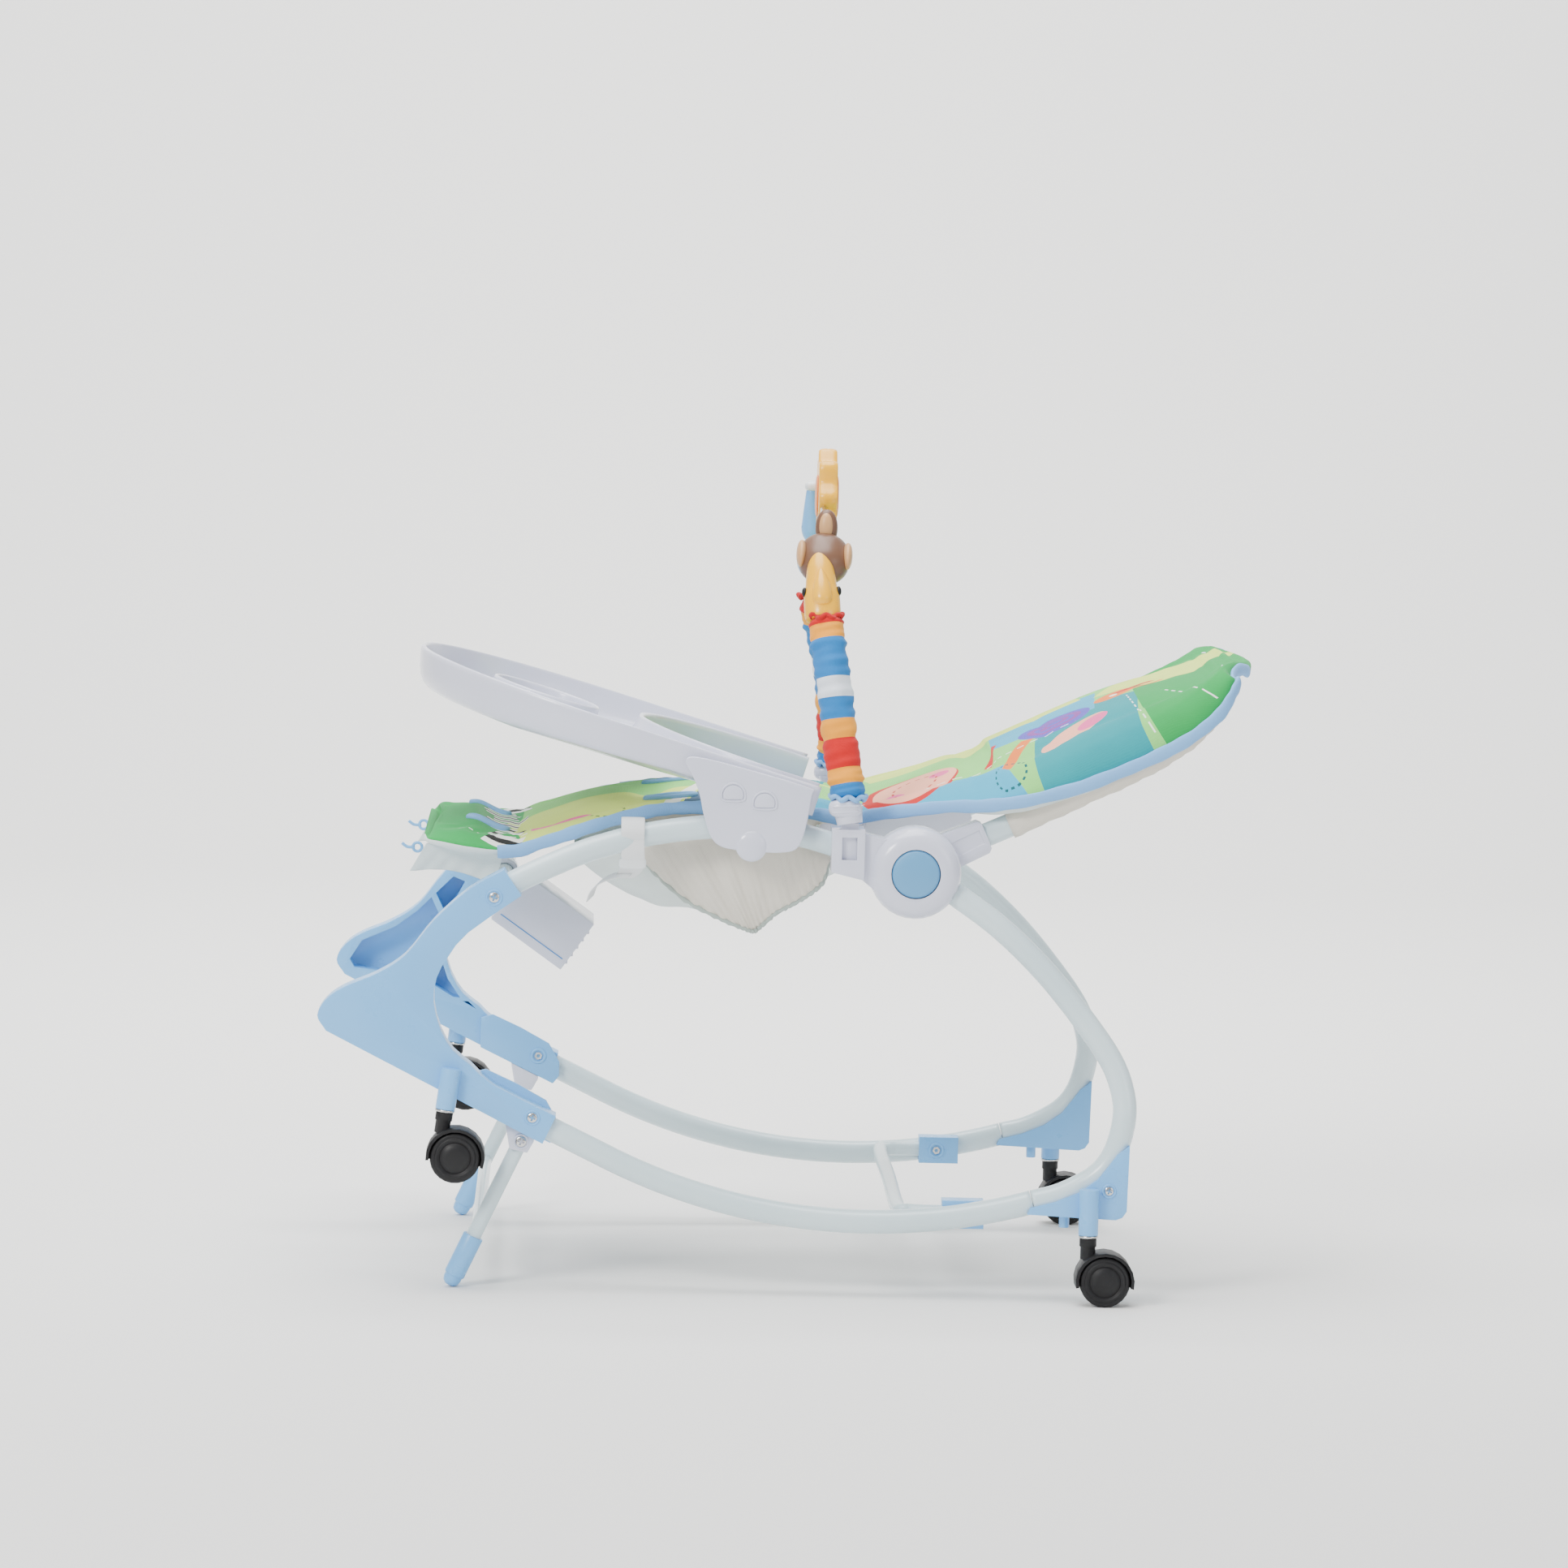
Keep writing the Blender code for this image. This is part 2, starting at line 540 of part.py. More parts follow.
# ---------------------------------------------------------------- hubs and backrest
def hub_housing(label, side):
    """The fixed half of a hub: a dome, and the block for the seat tube and toy bar."""
    depth = HUB_OUTER_Y - HUB_INNER_Y
    dome = [(0, 0), (HUB_R - 1.5 * MM, 0), (HUB_R, 1.5 * MM), (HUB_R, depth - 12 * MM),
            (HUB_R - 2.5 * MM, depth - 5 * MM), (HUB_R - 8 * MM, depth - 0.8 * MM),
            (HUB_R - 13 * MM, depth), (0, depth)]
    made = turned(f"hub_housing_{label}", dome, along_y(HUB_X, side * HUB_INNER_Y, HUB_Z, side), WHITE)
    low, high = sorted((side * CLIP_INNER_Y, side * CLIP_OUTER_Y))
    block = prism(f"clip_block_{label}",
                  [(CLIP_FRONT_X, CLIP_LOW_Z + 6 * MM), (CLIP_FRONT_X + CLIP_LENGTH, CLIP_LOW_Z),
                   (CLIP_FRONT_X + CLIP_LENGTH, CLIP_TOP_Z), (CLIP_FRONT_X, CLIP_TOP_Z)],
                  low, high, cutter=True)
    low, high = sorted((side * (HUB_INNER_Y + 2.3 * MM), side * (CLIP_OUTER_Y - 6 * MM)))
    neck_x = CLIP_FRONT_X + CLIP_LENGTH - 4 * MM
    neck = prism(f"hub_neck_{label}", [(neck_x, CLIP_LOW_Z + 2 * MM), (HUB_X - 20 * MM, HUB_Z - 24 * MM),
                                       (HUB_X - 20 * MM, HUB_Z + 26 * MM), (neck_x, CLIP_TOP_Z - 3 * MM)],
                 low, high, cutter=True)
    join(made, neck, block)
    lip, mouth_r = depth - HUB_LIP, BUTTON_R + PLAY
    cavity = turned(f"hub_cavity_{label}",
                    [(0, HUB_FLOOR), (HUB_CAVITY_R, HUB_FLOOR), (HUB_CAVITY_R, lip), (mouth_r, lip),
                     (mouth_r, depth + 2 * MM), (0, depth + 2 * MM)],
                    along_y(HUB_X, side * HUB_INNER_Y, HUB_Z, side), cutter=True)
    tongue_w, tongue_t, tongue_l = PLUG_TONGUE
    slot = box(f"plug_room_{label}",
               (PLUG_X - tongue_w / 2 - GAP, side * PLUG_Y - tongue_t / 2 - GAP,
                CLIP_TOP_Z - tongue_l - 2 * MM),
               (PLUG_X + tongue_w / 2 + GAP, side * PLUG_Y + tongue_t / 2 + GAP,
                CLIP_TOP_Z + 2 * MM), cutter=True)
    window_low, window_high = sorted((side * PLUG_Y, side * (CLIP_OUTER_Y + 2 * MM)))
    window = box(f"plug_window_{label}", (PLUG_X - 6 * MM, window_low, CLIP_TOP_Z - 24 * MM),
                 (PLUG_X + 6 * MM, window_high, CLIP_TOP_Z - 6 * MM), cutter=True)
    cut(made, cavity, slot, window,
        tube(f"hub_seat_room_{label}", seat_tube_path(side), TUBE_R + GAP, cutter=True),
        tube(f"hub_rear_room_{label}", rear_tube_path(side), TUBE_R + GAP, cutter=True))
    return made


def hub_button(label, side):
    """A domed push button that fills the hub's mouth."""
    back = HUB_OUTER_Y - 9 * MM
    profile = [(0, 0), (BUTTON_R, 0), (BUTTON_R, 7.5 * MM), (BUTTON_R - 1.5 * MM, 9.6 * MM),
               (BUTTON_R * 0.6, 10.6 * MM), (0, 11 * MM)]
    return turned(f"hub_button_{label}", profile, along_y(HUB_X, side * back, HUB_Z, side), BUTTON)


def lock_gear(label, side):
    """The toothed disc behind the button that locks the backrest."""
    start = HUB_INNER_Y + HUB_FLOOR + BUTTON_TRAVEL + 4 * MM
    count = GEAR_TEETH * 4
    outline = []
    for i in range(count):
        angle = 2 * math.pi * i / count
        radius = GEAR_R if i % 4 in (0, 1) else GEAR_R - 2.5 * MM
        outline.append((HUB_X + radius * math.cos(angle), HUB_Z + radius * math.sin(angle)))
    low, high = sorted((side * start, side * (start + GEAR_THICK)))
    made = prism(f"lock_gear_{label}", outline, low, high, STEEL)
    stem_end = HUB_OUTER_Y - 9 * MM - GAP
    join(made, rod(f"gear_stem_{label}", (HUB_X, side * (start + GEAR_THICK - 1 * MM), HUB_Z),
                   (HUB_X, side * stem_end, HUB_Z), 6 * MM, cutter=True))
    return made


def backrest_arm(label, side):
    """The turning half of a hub: a disc and the arm that takes the backrest tube."""
    inner = HUB_INNER_Y - PLAY - ARM_THICK
    made = rod(f"backrest_arm_{label}", (HUB_X, side * inner, HUB_Z),
               (HUB_X, side * (inner + ARM_THICK), HUB_Z), ARM_R, WHITE, sides=36)
    half = ARM_HEIGHT / 2
    low, high = sorted((side * inner, side * (inner + ARM_THICK)))
    corners = [arm_point(6 * MM, side, rise=-half - 3 * MM), arm_point(ARM_REACH - 3 * MM, side,
                                                                       rise=-half),
               arm_point(ARM_REACH, side, rise=-half + 3 * MM), arm_point(ARM_REACH, side,
                                                                          rise=half - 3 * MM),
               arm_point(ARM_REACH - 3 * MM, side, rise=half), arm_point(6 * MM, side, rise=half + 3 * MM)]
    join(made, prism(f"arm_block_{label}", [(p.x, p.z) for p in corners], low, high, cutter=True))
    sunk = [arm_point(38 * MM, side, rise=-ARM_SLOT), arm_point(60 * MM, side, rise=-ARM_SLOT + 2 * MM),
            arm_point(60 * MM, side, rise=ARM_SLOT), arm_point(36 * MM, side, rise=ARM_SLOT - 1 * MM)]
    face_low, face_high = sorted((side * (inner + ARM_THICK - 1 * MM), side * (inner + ARM_THICK + 1 * MM)))
    cut(made, tube(f"arm_room_{label}", back_tube_path()[:8], TUBE_R + GAP, cutter=True, fine=2),
        prism(f"arm_slot_{label}", [(p.x, p.z) for p in sunk], face_low, face_high, cutter=True))
    return made


# ---------------------------------------------------------------- casters and stand
def caster_place(end, side):
    """Matrix whose origin is the wheel's axle, with local Z up the stem."""
    if end == "rear":
        return Matrix.Translation((REAR_SOCKET_X + TRAIL, side * CASTER_HALF, WHEEL_R))
    lean = Matrix.Rotation(FRONT_SOCKET_LEAN, 4, "Y")
    foot = Vector((FRONT_SOCKET_X, side * CASTER_HALF, FRONT_SOCKET_LOW))
    offset = lean @ Vector((TRAIL, 0, -STEM_ABOVE_AXLE))
    return Matrix.Translation(foot + offset) @ lean


def caster_fork(end, label, side):
    """Stem, collar, central web and hood, with a bore for the axle."""
    place = caster_place(end, side)

    def at(x, y, z):
        return place @ Vector((x, y, z))

    hood_half = WHEEL_SPACE / 2 + WHEEL_WIDTH + 1.2 * MM
    arc = [math.radians(a) for a in range(-12, 193, 17)]
    inside = WHEEL_R + PLAY + 0.4 * MM
    band = [(HOOD_R * math.cos(a), HOOD_R * math.sin(a)) for a in arc]
    band += [(inside * math.cos(a), inside * math.sin(a)) for a in reversed(arc)]
    made = prism(f"caster_fork_{end}_{label}", band, -hood_half, hood_half, BLACK)
    made.data.transform(place)
    web = [(HOOD_R * 0.97 * math.cos(a), HOOD_R * 0.97 * math.sin(a)) for a in arc]
    web_half = WHEEL_SPACE / 2 - PLAY
    plate = prism(f"fork_web_{end}_{label}", web, -web_half, web_half, cutter=True)
    plate.data.transform(place)
    stem = rod(f"fork_stem_{end}_{label}", at(-TRAIL, 0, 6 * MM),
               at(-TRAIL, 0, STEM_ABOVE_AXLE + STEM_INSIDE),
               STEM_R, cutter=True, sides=16)
    collar = rod(f"fork_collar_{end}_{label}", at(-TRAIL, 0, STEM_ABOVE_AXLE - 9 * MM),
                 at(-TRAIL, 0, STEM_ABOVE_AXLE - GAP), SOCKET_R - 1 * MM, cutter=True)
    boss = rod(f"fork_boss_{end}_{label}", at(-TRAIL, 0, 17 * MM), at(-TRAIL, 0, STEM_ABOVE_AXLE - 6 * MM),
               6 * MM, cutter=True)
    join(made, plate, boss, collar, stem)
    room = rod(f"wheel_room_{end}_{label}_a", at(0, web_half, 0), at(0, hood_half - 1.2 * MM + GAP, 0),
               WHEEL_R + PLAY, cutter=True, sides=32)
    other = rod(f"wheel_room_{end}_{label}_b", at(0, -web_half, 0), at(0, -hood_half + 1.2 * MM - GAP, 0),
                WHEEL_R + PLAY, cutter=True, sides=32)
    axle = rod(f"axle_room_{end}_{label}", at(0, -web_half - 1 * MM, 0), at(0, web_half + 1 * MM, 0),
               AXLE_R + GAP, cutter=True, sides=16)
    cut(made, room, other, axle)
    return made


def caster_wheel(end, label, side):
    """Twin wheels on one axle."""
    inner, outer = WHEEL_SPACE / 2, WHEEL_SPACE / 2 + WHEEL_WIDTH
    bevel = 1.5 * MM
    half = [(0, outer - 1 * MM), (WHEEL_R * 0.6, outer - 1 * MM), (WHEEL_R * 0.66, outer),
            (WHEEL_R - bevel, outer), (WHEEL_R, outer - bevel), (WHEEL_R, inner + bevel),
            (WHEEL_R - bevel, inner), (AXLE_R, inner)]
    profile = half + [(r, -y) for r, y in reversed(half)]
    place = caster_place(end, side) @ Matrix.Rotation(math.pi / 2, 4, "X")
    return turned(f"caster_wheel_{end}_{label}", profile, place, BLACK, steps=24)


def foot_profile():
    """Radius and height of a foot's step and rounded tip."""
    return [(0, 0), (FOOT_R * 0.45, 0.6 * MM), (FOOT_R * 0.75, 2.6 * MM), (FOOT_R * 0.86, 6 * MM),
            (FOOT_R * 0.86, 9 * MM), (FOOT_R, 9.5 * MM), (FOOT_R, FOOT_LENGTH), (0, FOOT_LENGTH)]


def stand_length():
    """From the hinge to the foot's tip, so that the tilted foot just reaches the floor."""
    below = max(r * math.sin(STAND_LEAN) - h * math.cos(STAND_LEAN) for r, h in foot_profile())
    return (STAND_Z - below) / math.cos(STAND_LEAN)


def stand_foot(label, side):
    """A sleeve with a step and a rounded tip on the leg's end."""
    total = stand_length()
    tip, top = leg_point(total, side), leg_point(total - FOOT_LENGTH, side)
    place = Matrix.Translation(tip) @ (top - tip).to_track_quat("Z", "Y").to_matrix().to_4x4()
    made = turned(f"stand_foot_{label}", foot_profile(), place, BLUE, steps=20)
    cut(made, rod(f"leg_end_room_{label}", leg_point(total - 12 * MM, side),
                  leg_point(total - 60 * MM, side),
                  BAR_R + GAP, cutter=True))
    return made


def stand_leg(label, side):
    total = stand_length()
    return rod(f"stand_leg_{label}", leg_point(-4.5 * MM, side), leg_point(total - 12 * MM - GAP, side),
               BAR_R,
               PAINT)


def stand_cross_bar():
    """Joins the legs; its ends are hollowed to sit against them."""
    up = stand_length() - STAND_BAR_UP
    made = rod("stand_cross_bar", leg_point(up, -1), leg_point(up, 1), STAND_BAR_R, PAINT, sides=16)
    for label, side in SIDES.items():
        cut(made, rod(f"bar_leg_room_{label}", leg_point(up - 30 * MM, side), leg_point(up + 30 * MM, side),
                      BAR_R + GAP, cutter=True),
            box(f"bar_trim_{label}", *sorted_box(leg_point(up, side), side), cutter=True))
    return made


def sorted_box(place, side):
    """A box on the outer side of a leg, which trims what reaches past it."""
    low, high = sorted((place.y, place.y + side * 20 * MM))
    return (place.x - 20 * MM, low, place.z - 20 * MM), (place.x + 20 * MM, high, place.z + 20 * MM)


# ---------------------------------------------------------------- tray
def tray_frame():
    """Local X along the tray from its tip, local Z square to the rim."""
    turn = Matrix.Rotation(TRAY_SLOPE, 4, "Y")
    return Matrix.Translation((TRAY_TIP_X, 0, TRAY_TIP_Z)) @ turn


def tray_station(angle):
    """Outer and inner rim points at an angle from -90 (left arm) to 90 degrees (right arm)."""
    length = (TRAY_REAR_X - TRAY_TIP_X) / math.cos(TRAY_SLOPE)
    belly = (TRAY_BELLY_X - TRAY_TIP_X) / math.cos(TRAY_SLOPE)
    inner_half = TRAY_HALF - TRAY_ARM_WIDTH
    share = min(1.0, abs(angle) / 60)
    rest = max(0.0, (abs(angle) - 60) / 30)
    side = 1 if angle > 0 else -1
    curve = share * math.pi / 2
    outer = Vector((TRAY_ROUND * (1 - math.cos(curve)) + (length - TRAY_ROUND) * rest,
                    side * TRAY_HALF * math.sin(curve) ** 0.9, 0))
    inner = Vector((belly + (length - belly - 22 * MM) * (1 - math.cos(curve)) + 22 * MM * rest,
                    side * inner_half * math.sin(curve), 0))
    return outer, inner


def tray(room):
    """A shallow dish swept round a U, a cup well, and a skirt down the side of each arm."""
    place = tray_frame()
    shape = bmesh.new()
    rows = []
    for i in range(41):
        angle = -90 + 180 * i / 40
        outer, inner = tray_station(angle)
        deep = TRAY_ARM_DEPTH + (TRAY_DEPTH - TRAY_ARM_DEPTH) * max(0.0, 1 - max(0.0, abs(angle) - 35) / 30)
        row = []
        for share, down in ((0, 0), (0.035, -deep * 0.75), (0.1, -deep), (0.9, -deep),
                            (0.965, -deep * 0.75),
                            (1, 0)):
            row.append(shape.verts.new(place @ (outer.lerp(inner, share) + Vector((0, 0, down)))))
        rows.append(row)
    for one, two in zip(rows, rows[1:]):
        for k in range(len(one) - 1):
            shape.faces.new((one[k], one[k + 1], two[k + 1], two[k]))
    for row in (rows[0], rows[-1]):
        shape.faces.new(row)
    made = from_bmesh("tray", shape, WHITE)
    wall = made.modifiers.new("wall", "SOLIDIFY")
    wall.thickness = TRAY_WALL
    wall.offset = 0
    wall.use_even_offset = True
    well = turned("cup_well", [(CUP_R - 3 * MM, -TRAY_DEPTH), (CUP_R, -TRAY_DEPTH), (CUP_R, -5 * MM),
                               (CUP_R - 3 * MM, -5 * MM)],
                  place @ Matrix.Translation(((CUP_X - TRAY_TIP_X) / math.cos(TRAY_SLOPE), 0,
                                              0)), cutter=True)
    join(made, well)
    for label, side in SIDES.items():
        join(made, tray_skirt(label, side))
        cut(made, room[label])
        for x, z in zip(TRAY_BUTTONS_X, TRAY_BUTTONS_Z):
            outer = side * (skirt_y() + 2 * MM)
            cut(made, rod(f"tray_button_room_{label}_{x:.3f}", (x, side * (skirt_y() - 12 * MM), z),
                          (x, outer, z),
                          TRAY_BUTTON_R + GAP, cutter=True))
    return made


def skirt_y():
    return TRAY_HALF + SKIRT_OUT


def tray_skirt(label, side):
    """A side plate that hangs outside the seat tube, with a thick part that rests on it."""
    outer = side * skirt_y()
    low, high = sorted((outer, outer - side * SKIRT_THICK))
    rim = tray_frame() @ Vector(((SKIRT_FRONT_X - TRAY_TIP_X) / math.cos(TRAY_SLOPE), 0, 0))
    rear = tray_frame() @ Vector(((TRAY_REAR_X - TRAY_TIP_X) / math.cos(TRAY_SLOPE), 0, 0))
    outline = [(SKIRT_FRONT_X - 14 * MM, rim.z - 10 * MM), (SKIRT_FRONT_X, rim.z - 30 * MM),
               (SKIRT_FRONT_X + 4 * MM, SKIRT_LOW_Z + 18 * MM), (SKIRT_FRONT_X + 18 * MM,
                                                                 SKIRT_LOW_Z + 3 * MM),
               (SKIRT_FRONT_X + 40 * MM, SKIRT_LOW_Z), (SKIRT_REAR_X - 12 * MM, SKIRT_LOW_Z),
               (SKIRT_REAR_X - 2 * MM, SKIRT_LOW_Z + 14 * MM), (SKIRT_REAR_X, rear.z - 8 * MM),
               (SKIRT_FRONT_X, rim.z - 8 * MM)]
    plate = prism(f"skirt_{label}", outline, low, high, cutter=True)
    low, high = sorted((outer - side * 1 * MM, side * (TRAY_HALF - 22 * MM)))
    saddle_block = prism(f"tray_saddle_{label}",
                         [(SKIRT_FRONT_X + 8 * MM, rim.z - 14 * MM), (SKIRT_FRONT_X + 8 * MM, 374 * MM),
                          (SKIRT_REAR_X - 3 * MM, 368 * MM), (SKIRT_REAR_X - 3 * MM, rear.z - 7 * MM)],
                         low, high, cutter=True)
    join(saddle_block, plate)
    return saddle_block


def tray_button(label, side, number):
    """A D-shaped push button in the tray's skirt."""
    x, z = TRAY_BUTTONS_X[number - 1], TRAY_BUTTONS_Z[number - 1]
    radius = TRAY_BUTTON_R
    arc = [math.pi * i / 12 for i in range(13)]
    outline = [(x + radius * math.cos(a), z + radius * math.sin(a)) for a in arc]
    outline += [(x - radius * 0.9, z - radius * 0.4), (x + radius * 0.9, z - radius * 0.4)]
    low, high = sorted((side * (skirt_y() - 8 * MM), side * (skirt_y() + 1.2 * MM)))
    return prism(f"tray_button_{label}_{number}", outline, low, high, WHITE)


# ---------------------------------------------------------------- toy bar
def toy_rod_path():
    """A leaning arch from one plug, over the seat, to the other."""
    side = [(0.0445, PLUG_Y, 0.383), (0.041, 0.168, 0.406), (0.035, 0.159, 0.444), (0.029, 0.150, 0.483),
            (0.023, 0.138, 0.530), (0.020, 0.115, 0.566), (0.020, 0.085, 0.592), (0.022, 0.045, 0.613)]
    left = [(x, -y, z) for x, y, z in side]
    return smooth_path(left + [(0.024, 0, 0.621)] + list(reversed(side)), 3)


def toy_plug(label, side):
    """The bar's snap plug: a tongue that drops into the hub's block, under an oval cap."""
    width, thick, length = PLUG_TONGUE
    y = side * PLUG_Y
    made = box(f"toy_plug_{label}", (PLUG_X - width / 2, y - thick / 2, CLIP_TOP_Z - length),
               (PLUG_X + width / 2, y + thick / 2, CLIP_TOP_Z + 5 * MM), WHITE)
    cap_z = CLIP_TOP_Z + 4 * MM
    cap = rod(f"plug_cap_{label}", (PLUG_X, y, cap_z), (PLUG_X - 2 * MM, y - side * 1.5 * MM,
                                                        cap_z + 12 * MM),
              10 * MM, cutter=True, end_radius=12 * MM, sides=24)
    join(made, cap)
    cut(made, tube(f"plug_rod_room_{label}", toy_rod_path()[:8] if side < 0 else toy_rod_path()[-8:],
                   ROD_R + GAP, cutter=True))
    return made


def toy_sleeve(label):
    """The stuffed fabric sleeve round the rod's upright part."""
    path = toy_rod_path()
    run = path[1:13] if label == "left" else path[-13:-1]
    made = tube(f"toy_sleeve_{label}", run, SLEEVE_R, STRIPE)
    cut(made, tube(f"sleeve_rod_room_{label}", path[:20] if label == "left" else path[-20:],
                   ROD_R + PLAY, cutter=True))
    return made


def toy(name, index, size, finish, sides=16):
    """A moulded toy that turns on the rod; its straight hole clears the rod's bend."""
    path = toy_rod_path()
    here, along = path[index], (path[index + 1] - path[index - 1]).normalized()
    width, depth, height = size
    shape = bmesh.new()
    bmesh.ops.create_uvsphere(shape, u_segments=sides, v_segments=10, radius=0.5)
    turn = along.to_track_quat("Y", "Z").to_matrix().to_4x4()
    bmesh.ops.transform(shape, matrix=Matrix.Translation(here) @ turn @ Matrix.Diagonal((width, depth,
                                                                                         height, 1)),
                        verts=shape.verts)
    made = from_bmesh(name, shape, finish)
    cut(made, rod(f"{name}_hole", here - along * depth, here + along * depth, TOY_HOLE_R, cutter=True))
    return made


def toy_flower(room):
    """A flat eight-lobed toy fixed on the top of the rod."""
    path = toy_rod_path()
    top = path[len(path) // 2]
    outline = []
    for i in range(48):
        angle = 2 * math.pi * i / 48
        radius = 36 * MM + 3.5 * MM * math.cos(8 * angle)
        outline.append((top.y + radius * math.cos(angle), top.z + 4 * MM + radius * math.sin(angle)))
    made = prism("toy_flower", [(x, z) for x, z in outline], -7.5 * MM, 7.5 * MM, YELLOW)
    made.data.transform(Matrix.Translation((top.x, 0, 0)) @ Matrix.Rotation(math.pi / 2, 4, "Z"))
    cut(made, room)
    return made


# ---------------------------------------------------------------- vibration unit
def box_place():
    """Local X down the unit's length from the cross tube, local Z square to its top."""
    return (Matrix.Translation((CROSS_X, 0, CROSS_Z)) @ Matrix.Rotation(BOX_SLOPE, 4, "Y"))


def vibration_unit():
    """A hollow case that clips on the cross tube, its cover, its motor and its switch."""
    place = box_place()
    start = 12 * MM
    half = BOX_WIDTH / 2
    low_z = -BOX_HEIGHT + 12 * MM
    case = box("vibration_case", (start, -half, low_z), (start + BOX_LENGTH, half, 12 * MM), WHITE,
               place=place)
    hook = rod("case_hook", place @ Vector((0, -14 * MM, 0)), place @ Vector((0, 14 * MM, 0)),
               CROSS_R + 4 * MM, cutter=True)
    bridge = box("case_bridge", (4 * MM, -14 * MM, -8 * MM), (start + 2 * MM, 14 * MM, 8 * MM), cutter=True,
                 place=place)
    join(case, hook, bridge)
    inside = box("case_inside", (start + BOX_WALL, -half + BOX_WALL, low_z - 5 * MM),
                 (start + BOX_LENGTH - BOX_WALL, half - BOX_WALL,
                  12 * MM - BOX_WALL), cutter=True, place=place)
    mouth = box("hook_mouth", (-14 * MM, -16 * MM, -16 * MM), (0, 16 * MM, -2 * MM), cutter=True,
                place=place)
    tube_room = rod("hook_room", (CROSS_X, -20 * MM, CROSS_Z), (CROSS_X, 20 * MM, CROSS_Z), CROSS_R + GAP,
                    cutter=True)
    slot = box("switch_slot", (start + 30 * MM, half - 4 * MM, -18 * MM),
               (start + 50 * MM, half + 2 * MM, -10 * MM), cutter=True, place=place)
    cut(case, inside, tube_room, mouth, slot)
    step = BOX_WALL + GAP
    cover = box("battery_cover", (start + step, -half + step, low_z),
                (start + BOX_LENGTH - step, half - step, low_z + 3 * MM), WHITE, place=place)
    join(cover, box("battery_tray", (start + 40 * MM, -half + 12 * MM, low_z + 1 * MM),
                    (start + BOX_LENGTH - 8 * MM, half - 24 * MM, low_z + 9 * MM), cutter=True, place=place))
    motor = rod("vibration_motor", place @ Vector((start + 24 * MM, -20 * MM, -2 * MM)),
                place @ Vector((start + 24 * MM, 14 * MM, -2 * MM)), 10 * MM, STEEL)
    post = 12 * MM - BOX_WALL - GAP
    join(motor, box("motor_mount", (start + 16 * MM, -16 * MM, 2 * MM), (start + 32 * MM, 8 * MM, post),
                    cutter=True, place=place))
    switch = box("vibration_switch", (start + 32 * MM, half - 6 * MM, -18 * MM + GAP),
                 (start + 40 * MM, half + 1.5 * MM, -10 * MM - GAP), BUTTON, place=place)
    return case, cover, motor, switch


# ---------------------------------------------------------------- soft parts
def pad(name, rows, finish, across=8, drop=0.0):
    """A crowned cushion, lofted through rows of (x, z of the underside, half width, thickness).

    The top rises as one minus the fourth power of the share of the half width.  The
    underside is flat across unless drop makes it hang between the first and last rows."""
    shape = bmesh.new()
    count = len(rows) - 1
    rings = []
    for i, (x, z, half, thick) in enumerate(rows):
        before, after = rows[max(0, i - 1)], rows[min(count, i + 1)]
        along = Vector((after[0] - before[0], 0, after[1] - before[1])).normalized()
        up = Vector((-along.z, 0, along.x))
        hang = -drop * math.sin(math.pi * i / count)
        ring = []
        for top in (True, False):
            for k in range(across + 1):
                share = -1 + 2 * (k if top else across - k) / across
                crown = 1 - share ** 4
                rise = thick * (0.2 + 0.8 * crown) if top else hang * crown
                ring.append(shape.verts.new(Vector((x, half * share, z)) + up * rise))
        rings.append(ring)
    size = len(rings[0])
    for one, two in zip(rings, rings[1:]):
        for k in range(size):
            shape.faces.new((one[k], one[(k + 1) % size], two[(k + 1) % size], two[k]))
    for ring in (rings[0], rings[-1]):
        shape.faces.new(ring)
    return from_bmesh(name, shape, finish)


def backrest_pad():
    """Lies on the backrest tube from above the hub and curls over the tube at the head."""
    lift = TUBE_R + 2 * GAP
    run = [(5 * MM, 42 * MM, 0.9, 22 * MM), (50 * MM, 26 * MM, 0.95, 36 * MM), (90 * MM, lift, 1.0, 50 * MM)]
    shape = ((1.0, 48 * MM), (1.0, 46 * MM), (1.0, 37 * MM), (0.95, 24 * MM), (0.88, 12 * MM), (0.80, 7 * MM))
    steep = (1.0, 1.0, 1.08, 1.2, 1.28, 1.3)
    for (distance, _, rise), (share, thick), more in zip(BACK_CURVE, shape, steep):
        run.append((distance, rise + lift * more, share, thick))
    last = BACK_CURVE[-1]
    run.append((last[0] + PAD_PAST_HEAD / 2, last[2] + lift, 0.66, 6 * MM))
    run.append((last[0] + PAD_PAST_HEAD, last[2] - 2 * MM, 0.45, 8 * MM))
    rows = []
    for distance, rise, share, thick in run:
        point = arm_point(distance, 1, 0, rise)
        rows.append((point.x, point.z, PAD_HALF * share, thick))
    return pad("backrest_pad", rows, GREEN)


def seat_pad():
    """The seat's pad, with its front roll over the nose; it narrows between the tray's arms."""
    wide, slim = SEAT_PAD_FRONT_HALF, SEAT_PAD_HALF
    rows = [(-0.292, 0.350, wide - 10 * MM, 8 * MM), (-0.278, 0.345, wide, 22 * MM),
            (-0.255, 0.340, wide, 29 * MM),
            (-0.226, 0.3405, wide, 18 * MM), (-0.190, 0.350, wide, 22 * MM), (-0.157, 0.362, wide, 20 * MM),
            (-0.118, 0.373, slim + 12 * MM, 14 * MM), (-0.092, 0.376, slim, 14 * MM), (-0.062, 0.377,
                                                                                       slim, 17 * MM),
            (-0.020, 0.377, slim, 19 * MM), (0.012, 0.374, slim, 20 * MM), (0.045, 0.3715, slim, 20 * MM)]
    return pad("seat_pad", rows, GREEN)


